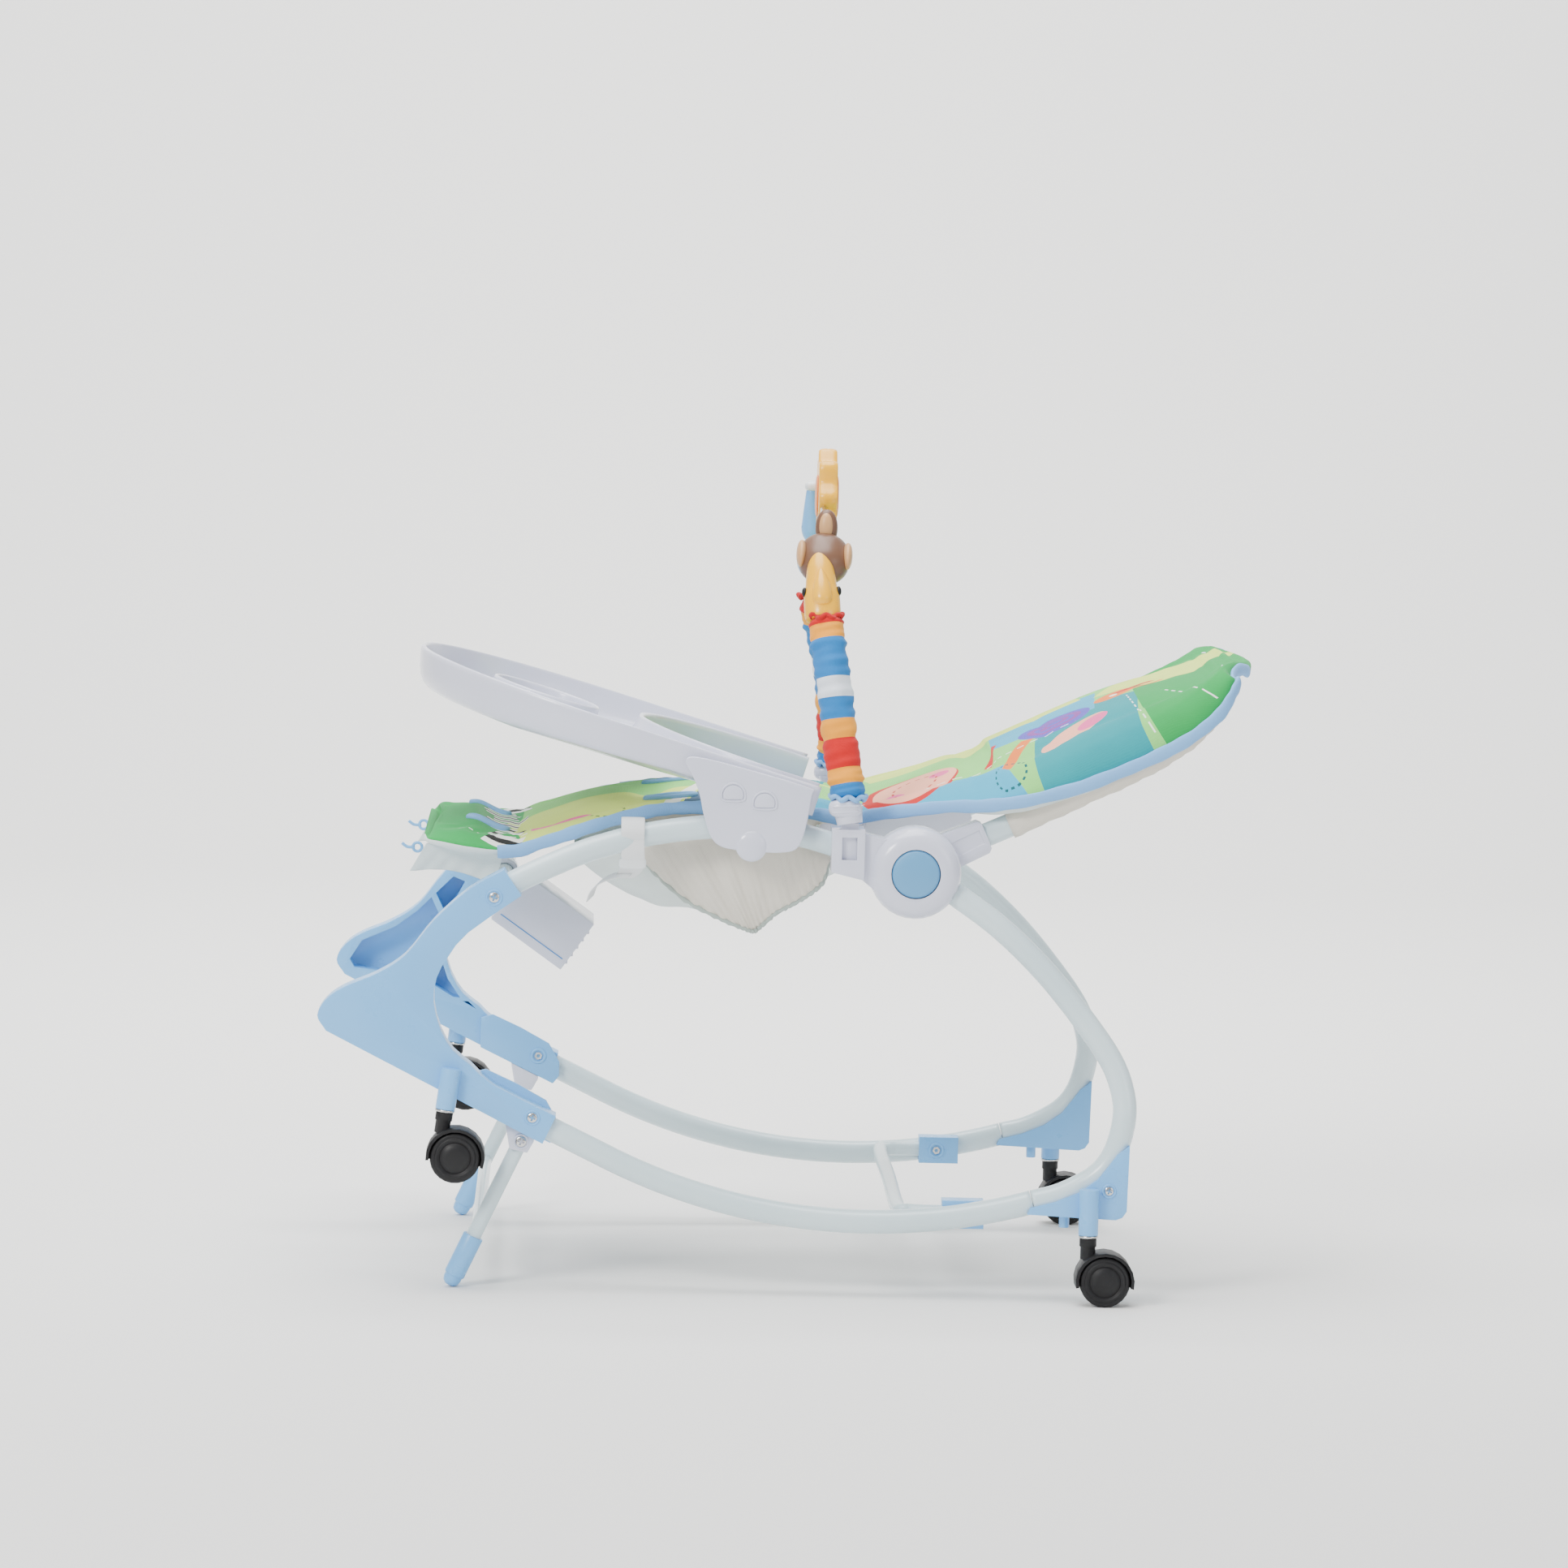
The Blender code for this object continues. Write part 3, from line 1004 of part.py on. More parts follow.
def seat_sling():
    """The cloth hammock that hangs between the seat tubes."""
    run = [(-0.168, 0.336), (-0.140, 0.340), (-0.100, 0.345), (-0.060, 0.348), (-0.020, 0.348),
           (0.020, 0.346),
           (0.052, 0.342)]
    return pad("seat_sling", [(x, z, SLING_HALF, 4 * MM) for x, z in run], CREAM, drop=SLING_DROP)


# ---------------------------------------------------------------- the whole seat
def hinge_parent(name, place, children):
    """An empty on a joint's axis that carries the pieces which move with it."""
    pivot = bpy.data.objects.new(name, None)
    pivot.empty_display_size = 0.03
    parts.objects.link(pivot)
    pivot.location = place
    for child in children:
        child.parent = pivot
        child.matrix_parent_inverse = Matrix.Translation(Vector(place)).inverted()
    return pivot


def build():
    cross_room = tube("cross_tube_room", smooth_path(cross_tube_points(), 3), BAR_R + GAP, cutter=True,
                      fine=2)
    rear_cross_tube()
    rod("seat_front_cross_tube", (CROSS_X, -FRAME_HALF + BRACKET_THICK / 2 - 2 * MM, CROSS_Z),
        (CROSS_X, FRAME_HALF - BRACKET_THICK / 2 + 2 * MM, CROSS_Z), CROSS_R, PAINT)
    vibration_unit()
    seat_pad()
    seat_sling()
    rod_room = tube("rod_room", toy_rod_path(), ROD_R + PLAY, cutter=True)
    moving = [backrest_pad(), tube("backrest_tube", back_tube_path(), TUBE_R, PAINT, fine=2)]
    stand = [stand_cross_bar()]
    label, side = "left", SIDES["left"]
    pairs = [tube("rail_left", rail_path(side), TUBE_R, PAINT),
             tube("rear_tube_left", rear_tube_path(side), TUBE_R, PAINT),
             tube("seat_tube_left", seat_tube_path(side), TUBE_R, PAINT), nose_bracket(label, side),
             bracket_cap(label, side), rear_gusset(label, side), saddle(label, side, cross_room),
             stand_bracket(label, side), hub_housing(label, side), hub_button(label, side),
             lock_gear(label, side), toy_plug(label, side), toy_sleeve(label)]
    for end in ("front", "rear"):
        pairs += [caster_fork(end, label, side), caster_wheel(end, label, side)]
    pairs += [tray_button(label, side, number) for number in (1, 2)]
    arm = backrest_arm(label, side)
    legs = [stand_leg(label, side), stand_foot(label, side)]
    for made in pairs:
        mirrored(made)
    moving += [arm, mirrored(arm)]
    stand += legs + [mirrored(leg) for leg in legs]
    tray_room = {name: tube(f"tray_tube_room_{name}", seat_tube_path(way), TUBE_R + GAP, cutter=True)
                 for name, way in SIDES.items()}
    tray(tray_room)
    tube("toy_bar_rod", toy_rod_path(), ROD_R, STEEL, fine=2)
    toy("toy_duck", 14, (30 * MM, 34 * MM, 44 * MM), YELLOW)
    toy("toy_bear", 18, (40 * MM, 24 * MM, 44 * MM), BROWN)
    toy_flower(rod_room)
    hinge_parent("backrest_pivot", (HUB_X, 0, HUB_Z), moving)
    hinge_parent("stand_pivot", (STAND_X, 0, STAND_Z), stand)


build()
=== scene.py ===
# %% [markdown]
# # A bouncer seat, finished piece by piece
#
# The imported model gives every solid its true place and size. This lesson puts the looks on
# it. Each step says what a piece is on the real seat, how it could be made, and why one way
# was chosen. Lengths are in metres, +X is the head end, -Y is the child's left.

# %% Load the frame
import json
import math

import bmesh
import bpy
import numpy as np
from mathutils import Matrix, Vector


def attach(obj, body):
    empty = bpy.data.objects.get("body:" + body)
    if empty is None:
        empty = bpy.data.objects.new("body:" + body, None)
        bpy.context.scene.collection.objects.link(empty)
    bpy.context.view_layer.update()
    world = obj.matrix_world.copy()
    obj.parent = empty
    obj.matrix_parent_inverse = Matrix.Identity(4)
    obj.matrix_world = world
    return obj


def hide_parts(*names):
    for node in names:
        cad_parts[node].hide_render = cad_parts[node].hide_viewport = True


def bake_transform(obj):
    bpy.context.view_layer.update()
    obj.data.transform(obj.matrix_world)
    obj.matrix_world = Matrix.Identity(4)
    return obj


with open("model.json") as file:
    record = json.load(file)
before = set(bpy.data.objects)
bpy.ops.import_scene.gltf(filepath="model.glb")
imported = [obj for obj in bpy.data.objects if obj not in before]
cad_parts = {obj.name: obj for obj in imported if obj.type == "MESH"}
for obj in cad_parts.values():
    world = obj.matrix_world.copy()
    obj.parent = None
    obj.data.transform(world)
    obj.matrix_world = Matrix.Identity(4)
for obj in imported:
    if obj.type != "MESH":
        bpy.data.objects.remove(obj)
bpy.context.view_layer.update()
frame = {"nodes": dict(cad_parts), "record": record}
nodes = frame["nodes"]
body_of_node = {node: body for body, held in frame["record"]["behaviour"]["bodies"].items() for node in held}
slot_of_node = {part["node"]: part["material_slot"] for part in frame["record"]["subparts"]}

# %% [markdown]
# ## Camera, floor and light
#
# The seat is seen almost square on from the child's left, a little from above, by a long
# lens. A camera could be aimed with a constraint, but a matrix made from pitch, yaw and
# roll is exact and keeps the camera's slight roll.

# %% Camera
SENSOR = 36.0
FOCAL_LENGTH = 152.8
pitch, yaw, roll = (math.radians(a) for a in (4.7187, 1.7816, 1.4964))
EYE = Vector((-0.171, -5.414, 0.8363))

forward = Vector((math.sin(yaw) * math.cos(pitch), math.cos(yaw) * math.cos(pitch), -math.sin(pitch)))
level = Vector((math.cos(yaw), -math.sin(yaw), 0))
upright = level.cross(forward)
right = math.cos(roll) * level + math.sin(roll) * upright
up = -math.sin(roll) * level + math.cos(roll) * upright

lens = bpy.data.cameras.new("camera")
lens.sensor_width = SENSOR
lens.lens = FOCAL_LENGTH
lens.clip_end = 100
camera = bpy.data.objects.new("camera", lens)
camera.matrix_world = Matrix((right, up, -forward)).transposed().to_4x4()
camera.matrix_world.translation = EYE
bpy.context.scene.collection.objects.link(camera)
bpy.context.scene.camera = camera
print("lens", round(lens.lens, 1), "mm")

# %% [markdown]
# ## Surfaces from arrays
#
# Nearly every new piece is a grid of points worked out with numpy: rows run along the piece
# and columns round it. One helper turns any such grid into a mesh, and a few others make
# the grids: a round section swept along a path, and a profile turned about an axis.

# %% Helper: a mesh from a grid
def surface(name, grid, closed=False, caps=False, finish=None, smooth=True):
    """A mesh from a (rows, columns, 3) array. closed joins the last column to the first,
    and caps shuts the first and last rows with one face each."""
    rows, columns = grid.shape[:2]
    index = np.arange(rows * columns).reshape(rows, columns)
    if closed:
        index = np.concatenate([index, index[:, :1]], axis=1)
    quads = np.stack([index[:-1, :-1], index[:-1, 1:], index[1:, 1:], index[1:, :-1]], axis=-1).reshape(-1, 4)
    faces = quads.tolist()
    if caps:
        faces += [index[0, :columns].tolist(), index[-1, :columns][::-1].tolist()]
    mesh = bpy.data.meshes.new(name)
    mesh.from_pydata(grid.reshape(-1, 3).tolist(), [], faces)
    return place(name, mesh, finish, smooth)


def place(name, mesh, finish, smooth=True):
    """Puts a mesh in the scene with its faces outwards and its material on."""
    shape = bmesh.new()
    shape.from_mesh(mesh)
    bmesh.ops.remove_doubles(shape, verts=shape.verts, dist=1e-6)
    bmesh.ops.recalc_face_normals(shape, faces=shape.faces)
    shape.to_mesh(mesh)
    shape.free()
    if smooth:
        mesh.shade_smooth()
    made = bpy.data.objects.new(name, mesh)
    bpy.context.scene.collection.objects.link(made)
    if finish:
        mesh.materials.append(finish)
    return made


# %% Helper: paths, sweeps and turned shapes
def through(points, steps=10):
    """A Catmull-Rom curve through the points: each stretch is the cubic whose end slopes
    are half the step between the neighbours on either side."""
    p = np.asarray(points, float)
    p = np.concatenate([[2 * p[0] - p[1]], p, [2 * p[-1] - p[-2]]])
    a, b, c, d = (p[i:len(p) - 3 + i, None, :] for i in range(4))
    t = (np.arange(steps) / steps)[None, :, None]
    curve = 0.5 * (2 * b + (c - a) * t + (2 * a - 5 * b + 4 * c - d) * t**2 + (3 * b - a - 3 * c + d) * t**3)
    return np.concatenate([curve.reshape(-1, p.shape[1]), p[-2:-1]])


def unit(v):
    return v / np.maximum(np.linalg.norm(v, axis=-1, keepdims=True), 1e-12)


def sweep_grid(path, radius, side_of, columns=32, flatten=1.0):
    """Rings of points round a path: centre + radius (cos t * across + sin t * flatten * over),
    where across is square to the path and to the fixed direction side_of."""
    along = unit(np.gradient(path, axis=0))
    across = unit(np.cross(along, side_of))
    over = np.cross(across, along)
    turn = np.linspace(0, 2 * np.pi, columns, endpoint=False)
    radius = np.broadcast_to(radius, len(path))[:, None, None]
    return (path[:, None] + radius * (np.cos(turn)[None, :, None] * across[:, None]
                                      + flatten * np.sin(turn)[None, :, None] * over[:, None]))


def sweep(name, path, radius, side_of, finish, columns=32, flatten=1.0):
    """A round bar along a path, with slightly rounded ends."""
    path = np.asarray(path, float)
    radius = np.broadcast_to(np.asarray(radius, float), len(path)).copy()
    start, end = path[:1] + (path[1:2] - path[:1]) * 0.02, path[-1:] + (path[-2:-1] - path[-1:]) * 0.02
    path = np.concatenate([path[:1], start, path[1:-1], end, path[-1:]])
    radius = np.concatenate([radius[:1] * 0.9, radius, radius[-1:] * 0.9])
    return surface(name, sweep_grid(path, radius, np.asarray(side_of, float), columns, flatten), closed=True,
                   caps=True, finish=finish)


def turned(name, profile, base, axis, finish, columns=48):
    """A (radius, height) profile turned about an axis: base + height axis + radius (cos, sin)."""
    profile = np.asarray(profile, float)
    axis = unit(np.asarray(axis, float))
    helper = np.array([1.0, 0, 0]) if abs(axis[0]) < 0.9 else np.array([0, 0, 1.0])
    one = unit(np.cross(axis, helper))
    two = np.cross(axis, one)
    turn = np.linspace(0, 2 * np.pi, columns, endpoint=False)[None, :, None]
    ring = np.cos(turn) * one + np.sin(turn) * two
    grid = np.asarray(base, float) + profile[:, None, 1:] * axis + profile[:, None, :1] * ring
    return surface(name, grid, closed=True, caps=False, finish=finish)


def riding(made, body, slot_name, *replaced):
    """The usual last step: the piece moves with a body and the parts it replaces are hidden; slot_name is not
    used.
    """
    if replaced:
        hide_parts(*replaced)
    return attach(made, body)


def on_side(grid, side):
    """The same points for the other side of the seat when side is +1 (made for the left)."""
    return grid * np.array([1.0, -side, 1.0])


# %% [markdown]
# ## Materials
#
# Moulded plastic, painted tube and cloth all catch light by their fine texture, so every
# material has a fine bump, and the plastics and metals also have noise in their roughness.
# Patterns read Object coordinates, which the finished pieces share, because each object
# sits at the origin.

# %% Helper: a principled material and its nodes
def new_material(name, colour, roughness, **shader_values):
    made = bpy.data.materials.new(name)
    made.use_nodes = True
    tree = made.node_tree
    shader = tree.nodes["Principled BSDF"]
    shader.inputs["Base Color"].default_value = (*colour, 1)
    shader.inputs["Roughness"].default_value = roughness
    for socket, value in shader_values.items():
        shader.inputs[socket.replace("_", " ")].default_value = value
    return made, tree, shader


def noise(tree, scale, detail=3.0, coordinate="Object", stretch=(1, 1, 1)):
    """A noise texture on the piece's own coordinates."""
    where = tree.nodes.new("ShaderNodeTexCoord")
    mapping = tree.nodes.new("ShaderNodeMapping")
    mapping.inputs["Scale"].default_value = stretch
    texture = tree.nodes.new("ShaderNodeTexNoise")
    texture.inputs["Scale"].default_value = scale
    texture.inputs["Detail"].default_value = detail
    tree.links.new(where.outputs[coordinate], mapping.inputs["Vector"])
    tree.links.new(mapping.outputs["Vector"], texture.inputs["Vector"])
    return texture.outputs["Fac"]


def spread(tree, value, low, high, start=0.3, end=0.7):
    """Maps a texture value from start..end onto low..high."""
    node = tree.nodes.new("ShaderNodeMapRange")
    for socket, number in (("From Min", start), ("From Max", end), ("To Min", low), ("To Max", high)):
        node.inputs[socket].default_value = number
    tree.links.new(value, node.inputs["Value"])
    return node.outputs["Result"]


def bump(tree, shader, height, strength, distance):
    node = tree.nodes.new("ShaderNodeBump")
    node.inputs["Strength"].default_value = strength
    node.inputs["Distance"].default_value = distance
    tree.links.new(height, node.inputs["Height"])
    tree.links.new(node.outputs["Normal"], shader.inputs["Normal"])


def mix(tree, share, one, two):
    """A colour between one and two; each is a colour tuple or a socket."""
    node = tree.nodes.new("ShaderNodeMix")
    node.data_type = "RGBA"
    for socket, value in zip((node.inputs[0], node.inputs[6], node.inputs[7]), (share, one, two)):
        if isinstance(value, bpy.types.NodeSocket):
            tree.links.new(value, socket)
        else:
            socket.default_value = value if isinstance(value, float) else (*value, 1)
    return node.outputs[2]


# %% Moulded plastics, paint and steel
def moulded(name, colour, rough, grain=900, bumpiness=0.08, tone=0.06, **values):
    """Injection-moulded plastic: a faint cloudiness in the colour, fine grain, uneven gloss."""
    made, tree, shader = new_material(name, colour, rough, **values)
    cloud = spread(tree, noise(tree, 9, 4), 0.0, 1.0)
    darker = tuple(c * (1 - tone) for c in colour)
    tree.links.new(mix(tree, cloud, darker, colour), shader.inputs["Base Color"])
    tree.links.new(spread(tree, noise(tree, 40, 5), rough * 0.8, rough * 1.25), shader.inputs["Roughness"])
    bump(tree, shader, noise(tree, grain, 2), bumpiness, 0.0004)
    return made


BLUE = moulded("light_blue_plastic", (0.17, 0.47, 0.86), 0.3, Specular_IOR_Level=0.5)
DEEP_BLUE = moulded("deep_blue_plastic", (0.05, 0.24, 0.60), 0.35)
WHITE = moulded("lavender_white_plastic", (0.66, 0.68, 0.80), 0.2, grain=500, bumpiness=0.04, Coat_Weight=0.3,
                Coat_Roughness=0.12, Subsurface_Weight=0.06, Subsurface_Radius=(0.01, 0.01, 0.012))
BUTTON_BLUE = moulded("button_blue_plastic", (0.105, 0.33, 0.585), 0.42, grain=1400, bumpiness=0.12)
BLACK = moulded("black_plastic", (0.010, 0.010, 0.011), 0.5, grain=1100, bumpiness=0.15, tone=0.3,
                Specular_IOR_Level=0.3)
YELLOW = moulded("yellow_plastic", (0.95, 0.47, 0.004), 0.3, Coat_Weight=0.2, Coat_Roughness=0.15)
BROWN = moulded("brown_plastic", (0.16, 0.075, 0.04), 0.35)
ORANGE_PLASTIC = moulded("orange_plastic", (0.80, 0.22, 0.02), 0.3)
TAN = moulded("tan_plastic", (0.60, 0.33, 0.14), 0.35)
CLEAR_WHITE = moulded("milky_plastic", (0.78, 0.82, 0.84), 0.3, Subsurface_Weight=0.1,
                      Subsurface_Radius=(0.01, 0.01, 0.01))


def painted_tube():
    """Powder-coated steel tube: a satin skin with a fine orange-peel and a cool tint."""
    made, tree, shader = new_material("pale_tube_paint", (0.60, 0.735, 0.775), 0.27, Coat_Weight=0.35,
                                      Coat_Roughness=0.2)
    tint = spread(tree, noise(tree, 14, 3), 0.0, 1.0)
    tree.links.new(mix(tree, tint, (0.565, 0.70, 0.74), (0.62, 0.75, 0.785)), shader.inputs["Base Color"])
    bump(tree, shader, noise(tree, 650, 2), 0.1, 0.0003)
    return made


def bright_metal(name, colour, rough):
    """Plated metal: fine brushed streaks in the roughness and a trace of bump."""
    made, tree, shader = new_material(name, colour, rough, Metallic=1.0)
    streaks = noise(tree, 260, 3, stretch=(1, 8, 1))
    tree.links.new(spread(tree, streaks, rough * 0.7, rough * 1.6), shader.inputs["Roughness"])
    bump(tree, shader, streaks, 0.08, 0.0002)
    return made


PAINT = painted_tube()
STEEL = bright_metal("bright_steel", (0.62, 0.62, 0.61), 0.22)
COPPER = bright_metal("copper_plate", (0.62, 0.30, 0.14), 0.3)
print(len(bpy.data.materials), "materials so far")

# %% [markdown]
# ## Floor and light
#
# A pale sweep of paper makes floor and background one surface: a floor, a quarter-round
# bend and a wall, all one profile pushed sideways. One large soft lamp overhead, a smaller
# key from the front left and a weak fill keep the shadows short and soft.

# %% Paper sweep
bend = np.linspace(0, np.pi / 2, 24)
paper_y = np.concatenate([[-7.5], 3.2 + 1.4 * np.sin(bend), [4.6]])
paper_z = np.concatenate([[0], 1.4 - 1.4 * np.cos(bend), [6.0]])
paper_x = np.array([-8.0, 8.0])
paper_grid = np.stack([np.broadcast_to(paper_x, (len(paper_y), 2)), np.repeat(paper_y[:, None], 2, 1),
                       np.repeat(paper_z[:, None], 2, 1)], axis=-1)
paper_finish, paper_tree, paper_shader = new_material("paper", (0.87, 0.865, 0.845), 0.9)
bump(paper_tree, paper_shader, noise(paper_tree, 500, 2), 0.02, 0.0005)
paper = surface("paper_sweep", paper_grid, finish=paper_finish)
for face in paper.data.polygons:
    face.use_smooth = True


# %% Lamps
def soft_lamp(name, at, towards, size, power, tint=(1, 1, 1)):
    data = bpy.data.lights.new(name, "AREA")
    data.shape = "DISK"
    data.size = size
    data.energy = power
    data.color = tint
    lamp = bpy.data.objects.new(name, data)
    lamp.location = at
    lamp.rotation_euler = (Vector(towards) - Vector(at)).to_track_quat("-Z", "Y").to_euler()
    bpy.context.scene.collection.objects.link(lamp)
    return lamp


soft_lamp("overhead", (-0.3, -0.2, 3.0), (0, 0, 0.2), 2.4, 118)
soft_lamp("key", (-2.2, -3.0, 2.4), (0, 0, 0.3), 1.2, 125, (1, 0.985, 0.96))
soft_lamp("fill", (2.6, -2.6, 1.4), (0, 0, 0.3), 1.8, 22, (0.95, 0.97, 1))
soft_lamp("backdrop", (0.0, 1.6, 3.4), (0, 4.2, 1.2), 2.5, 230)
world = bpy.data.worlds.new("studio")
world.use_nodes = True
world.node_tree.nodes["Background"].inputs["Color"].default_value = (0.93, 0.95, 1.0, 1)
world.node_tree.nodes["Background"].inputs["Strength"].default_value = 0.62
bpy.context.scene.world = world

# %% [markdown]
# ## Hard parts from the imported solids
#
# Brackets, housings and wheels already have their real shape. A copy of each is welded,
# given small bevels on its sharp edges, since moulded edges always catch a line of light,
# and shaded by angle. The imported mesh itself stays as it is, because contact uses it.

# %% Bevelled copies
def finished_copy(node, finish, edge=0.0007, segments=2, angle=33):
    """A welded, bevelled copy of a CAD node that stands for it."""
    shape = bmesh.new()
    shape.from_mesh(nodes[node].data)
    bmesh.ops.remove_doubles(shape, verts=shape.verts, dist=2e-5)
    bmesh.ops.dissolve_limit(shape, angle_limit=math.radians(0.6), verts=shape.verts, edges=shape.edges)
    if edge:
        sharp = [e for e in shape.edges
                 if len(e.link_faces) == 2 and e.calc_face_angle(0) > math.radians(angle)
                 and e.calc_length() > 0.0004]
        bmesh.ops.bevel(shape, geom=sharp, offset=edge, offset_type="OFFSET", segments=segments, profile=0.5,
                        affect="EDGES", clamp_overlap=True, loop_slide=True)
    mesh = bpy.data.meshes.new(f"{node}_finished")
    shape.to_mesh(mesh)
    shape.free()
    mesh.shade_smooth()
    made = bpy.data.objects.new(f"{node}_finished", mesh)
    bpy.context.scene.collection.objects.link(made)
    bpy.context.view_layer.objects.active = made
    mesh.set_sharp_from_angle(angle=math.radians(angle))
    mesh.materials.append(finish)
    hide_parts(node)
    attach(made, body_of_node[node])
    return made


both = ("left", "right")
ends = ("front", "rear")
hard = {BLUE: [f"{n}_{s}" for s in both for n in ("nose_bracket", "bracket_cap", "rear_gusset", "saddle",
                                                  "stand_foot")],
        WHITE: [f"{n}_{s}" for s in both for n in ("hub_housing", "backrest_arm", "stand_bracket")]
        + [f"tray_button_{s}_{n}" for s in both for n in (1, 2)] + ["vibration_case", "battery_cover"],
        BUTTON_BLUE: [f"hub_button_{s}" for s in both] + ["vibration_switch"],
        STEEL: [f"lock_gear_{s}" for s in both] + ["vibration_motor"],
        BLACK: [f"{n}_{e}_{s}" for n in ("caster_fork", "caster_wheel") for e in ends for s in both]}
for finish, names in hard.items():
    for node in names:
        finished_copy(node, finish)

# %% [markdown]
# ## Bent tubes
#
# The frame is steel tube bent on a former. A curve object could carry a bevel, but a sweep
# worked out with numpy gives the same round section with every ring square to the path.
# Rails are an arc with a straight front end; the others are smooth curves through a few
# points measured on the frame.

# %% Tube paths
TUBE_R, CROSS_R, BAR_R, STAND_BAR_R, ROD_R = 0.0095, 0.008, 0.006, 0.005, 0.0025
FRAME_HALF, HUB_HALF, REAR_TOP_HALF, LEG_HALF = 0.200, 0.155, 0.163, 0.192
RAIL_R, RAIL_LOW_X, RAIL_LOW_Z, RAIL_SLOPE = 0.475, 0.065, 0.060, math.radians(25.6)
HUB_X, HUB_Z = 0.098, 0.335
BACK_ANGLE, ARM_RISE = math.radians(24), 0.003
UP_AXIS, SIDE_AXIS, LONG_AXIS = (0, 0, 1), (0, 1, 0), (1, 0, 0)


def rail_line():
    """x = lowest + R sin a, z = centre - R cos a, after a straight run tangent to it."""
    a = np.linspace(-RAIL_SLOPE, math.asin((0.196 - RAIL_LOW_X) / RAIL_R), 90)
    x = RAIL_LOW_X + RAIL_R * np.sin(a)
    z = RAIL_LOW_Z + RAIL_R - RAIL_R * np.cos(a)
    front = np.linspace(0, 1, 12)[:-1, None]
    first = np.array([-0.236, z[0] + (x[0] + 0.236) * math.tan(RAIL_SLOPE)])
    run = first + front * (np.array([x[0], z[0]]) - first)
    xz = np.concatenate([run, np.stack([x, z], 1)])
    return np.stack([xz[:, 0], np.full(len(xz), -FRAME_HALF), xz[:, 1]], 1)


def rear_tube_line():
    """From the rail's end round the rear bend and up to the hub, leaning in as it rises."""
    rail = rail_line()
    step = unit(rail[-1] - rail[-2])
    start = rail[-1] + step * 0.0006
    bends = np.array([(0.246, 0.100), (0.260, 0.118), (0.267, 0.144), (0.266, 0.166), (0.2555, 0.1925),
                      (0.230, 0.2275), (0.200, 0.262), (HUB_X + 0.067, HUB_Z - 0.041),
                      (HUB_X + 0.027, HUB_Z - 0.013)])
    lean = np.clip((bends[:, 1] - 0.144) / (HUB_Z - 0.013 - 0.144), 0, None)
    y = -(FRAME_HALF + (REAR_TOP_HALF - FRAME_HALF) * lean)
    return through(np.concatenate([[start, start + 0.024 * step],
                                   np.stack([bends[:, 0], y, bends[:, 1]], 1)]))


def seat_tube_line():
    """The low arch beside the seat, which comes in from the bracket to the hub."""
    run = np.array([(-0.238, 0.3105, 1.0), (-0.220, 0.3225, 1.0), (-0.191, 0.3365, 0.86),
                    (-0.157, 0.350, 0.66),
                    (-0.112, 0.3615, 0.4), (-0.062, 0.3675, 0.2), (-0.020, 0.3665, 0.08),
                    (0.012, 0.3605, 0.0),
                    (0.052, 0.349, 0.0)])
    y = -(HUB_HALF + (FRAME_HALF - HUB_HALF) * run[:, 2])
    return through(np.stack([run[:, 0], y, run[:, 1]], 1))


def arm_point(distance, y, rise=0.0):
    """A point on the backrest's line, a distance from the hub's axis."""
    lift = rise + ARM_RISE
    return np.array([HUB_X + distance * math.cos(BACK_ANGLE) - lift * math.sin(BACK_ANGLE), y,
                     HUB_Z + distance * math.sin(BACK_ANGLE) + lift * math.cos(BACK_ANGLE)])


BACK_CURVE = [(0.150, 0.002, 0.003), (0.200, 0, 0.005), (0.240, 0.005, 0.011), (0.268, 0.022, 0.021),
              (0.285, 0.052, 0.030), (0.292, 0.100, 0.034)]


def back_tube_line():
    """The backrest's U, up the left side, round the head and down the right."""
    side = [arm_point(0.034, -0.138), arm_point(0.090, -0.138)]
    side += [arm_point(d, -0.148 + inward, rise) for d, inward, rise in BACK_CURVE]
    other = [p * np.array([1, -1, 1]) for p in side[::-1]]
    return through(np.array(side + [arm_point(0.292, 0, 0.034)] + other))


for side, label in ((-1, "left"), (1, "right")):
    for node, line, radius in ((f"rail_{label}", rail_line(), TUBE_R),
                               (f"rear_tube_{label}", rear_tube_line(), TUBE_R),
                               (f"seat_tube_{label}", seat_tube_line(), TUBE_R)):
        made = sweep(f"{node}_bent", on_side(line, side), radius, SIDE_AXIS, PAINT, 40)
        riding(made, body_of_node[node], slot_of_node[node], node)
back_line = back_tube_line()
made = sweep("backrest_tube_bent", back_line, TUBE_R, (-math.sin(BACK_ANGLE), 0, math.cos(BACK_ANGLE)),
             PAINT, 40)
riding(made, "backrest", "tube_paint", "backrest_tube")


def cross_tube_line():
    """The thin U between the rails: arms beside them, joined by a run across."""
    arm_y, z = FRAME_HALF - TUBE_R - BAR_R - 0.0003, RAIL_LOW_Z + RAIL_R - math.sqrt(RAIL_R**2 - 0.077**2)
    side = [(0.1565, -arm_y, z), (0.116, -arm_y, z), (0.100, -arm_y + 0.004, z), (0.092, -arm_y + 0.020, z)]
    return through(np.array(side + [(0.092, 0, z)] + [(x, -y, z) for x, y, z in side[::-1]]))


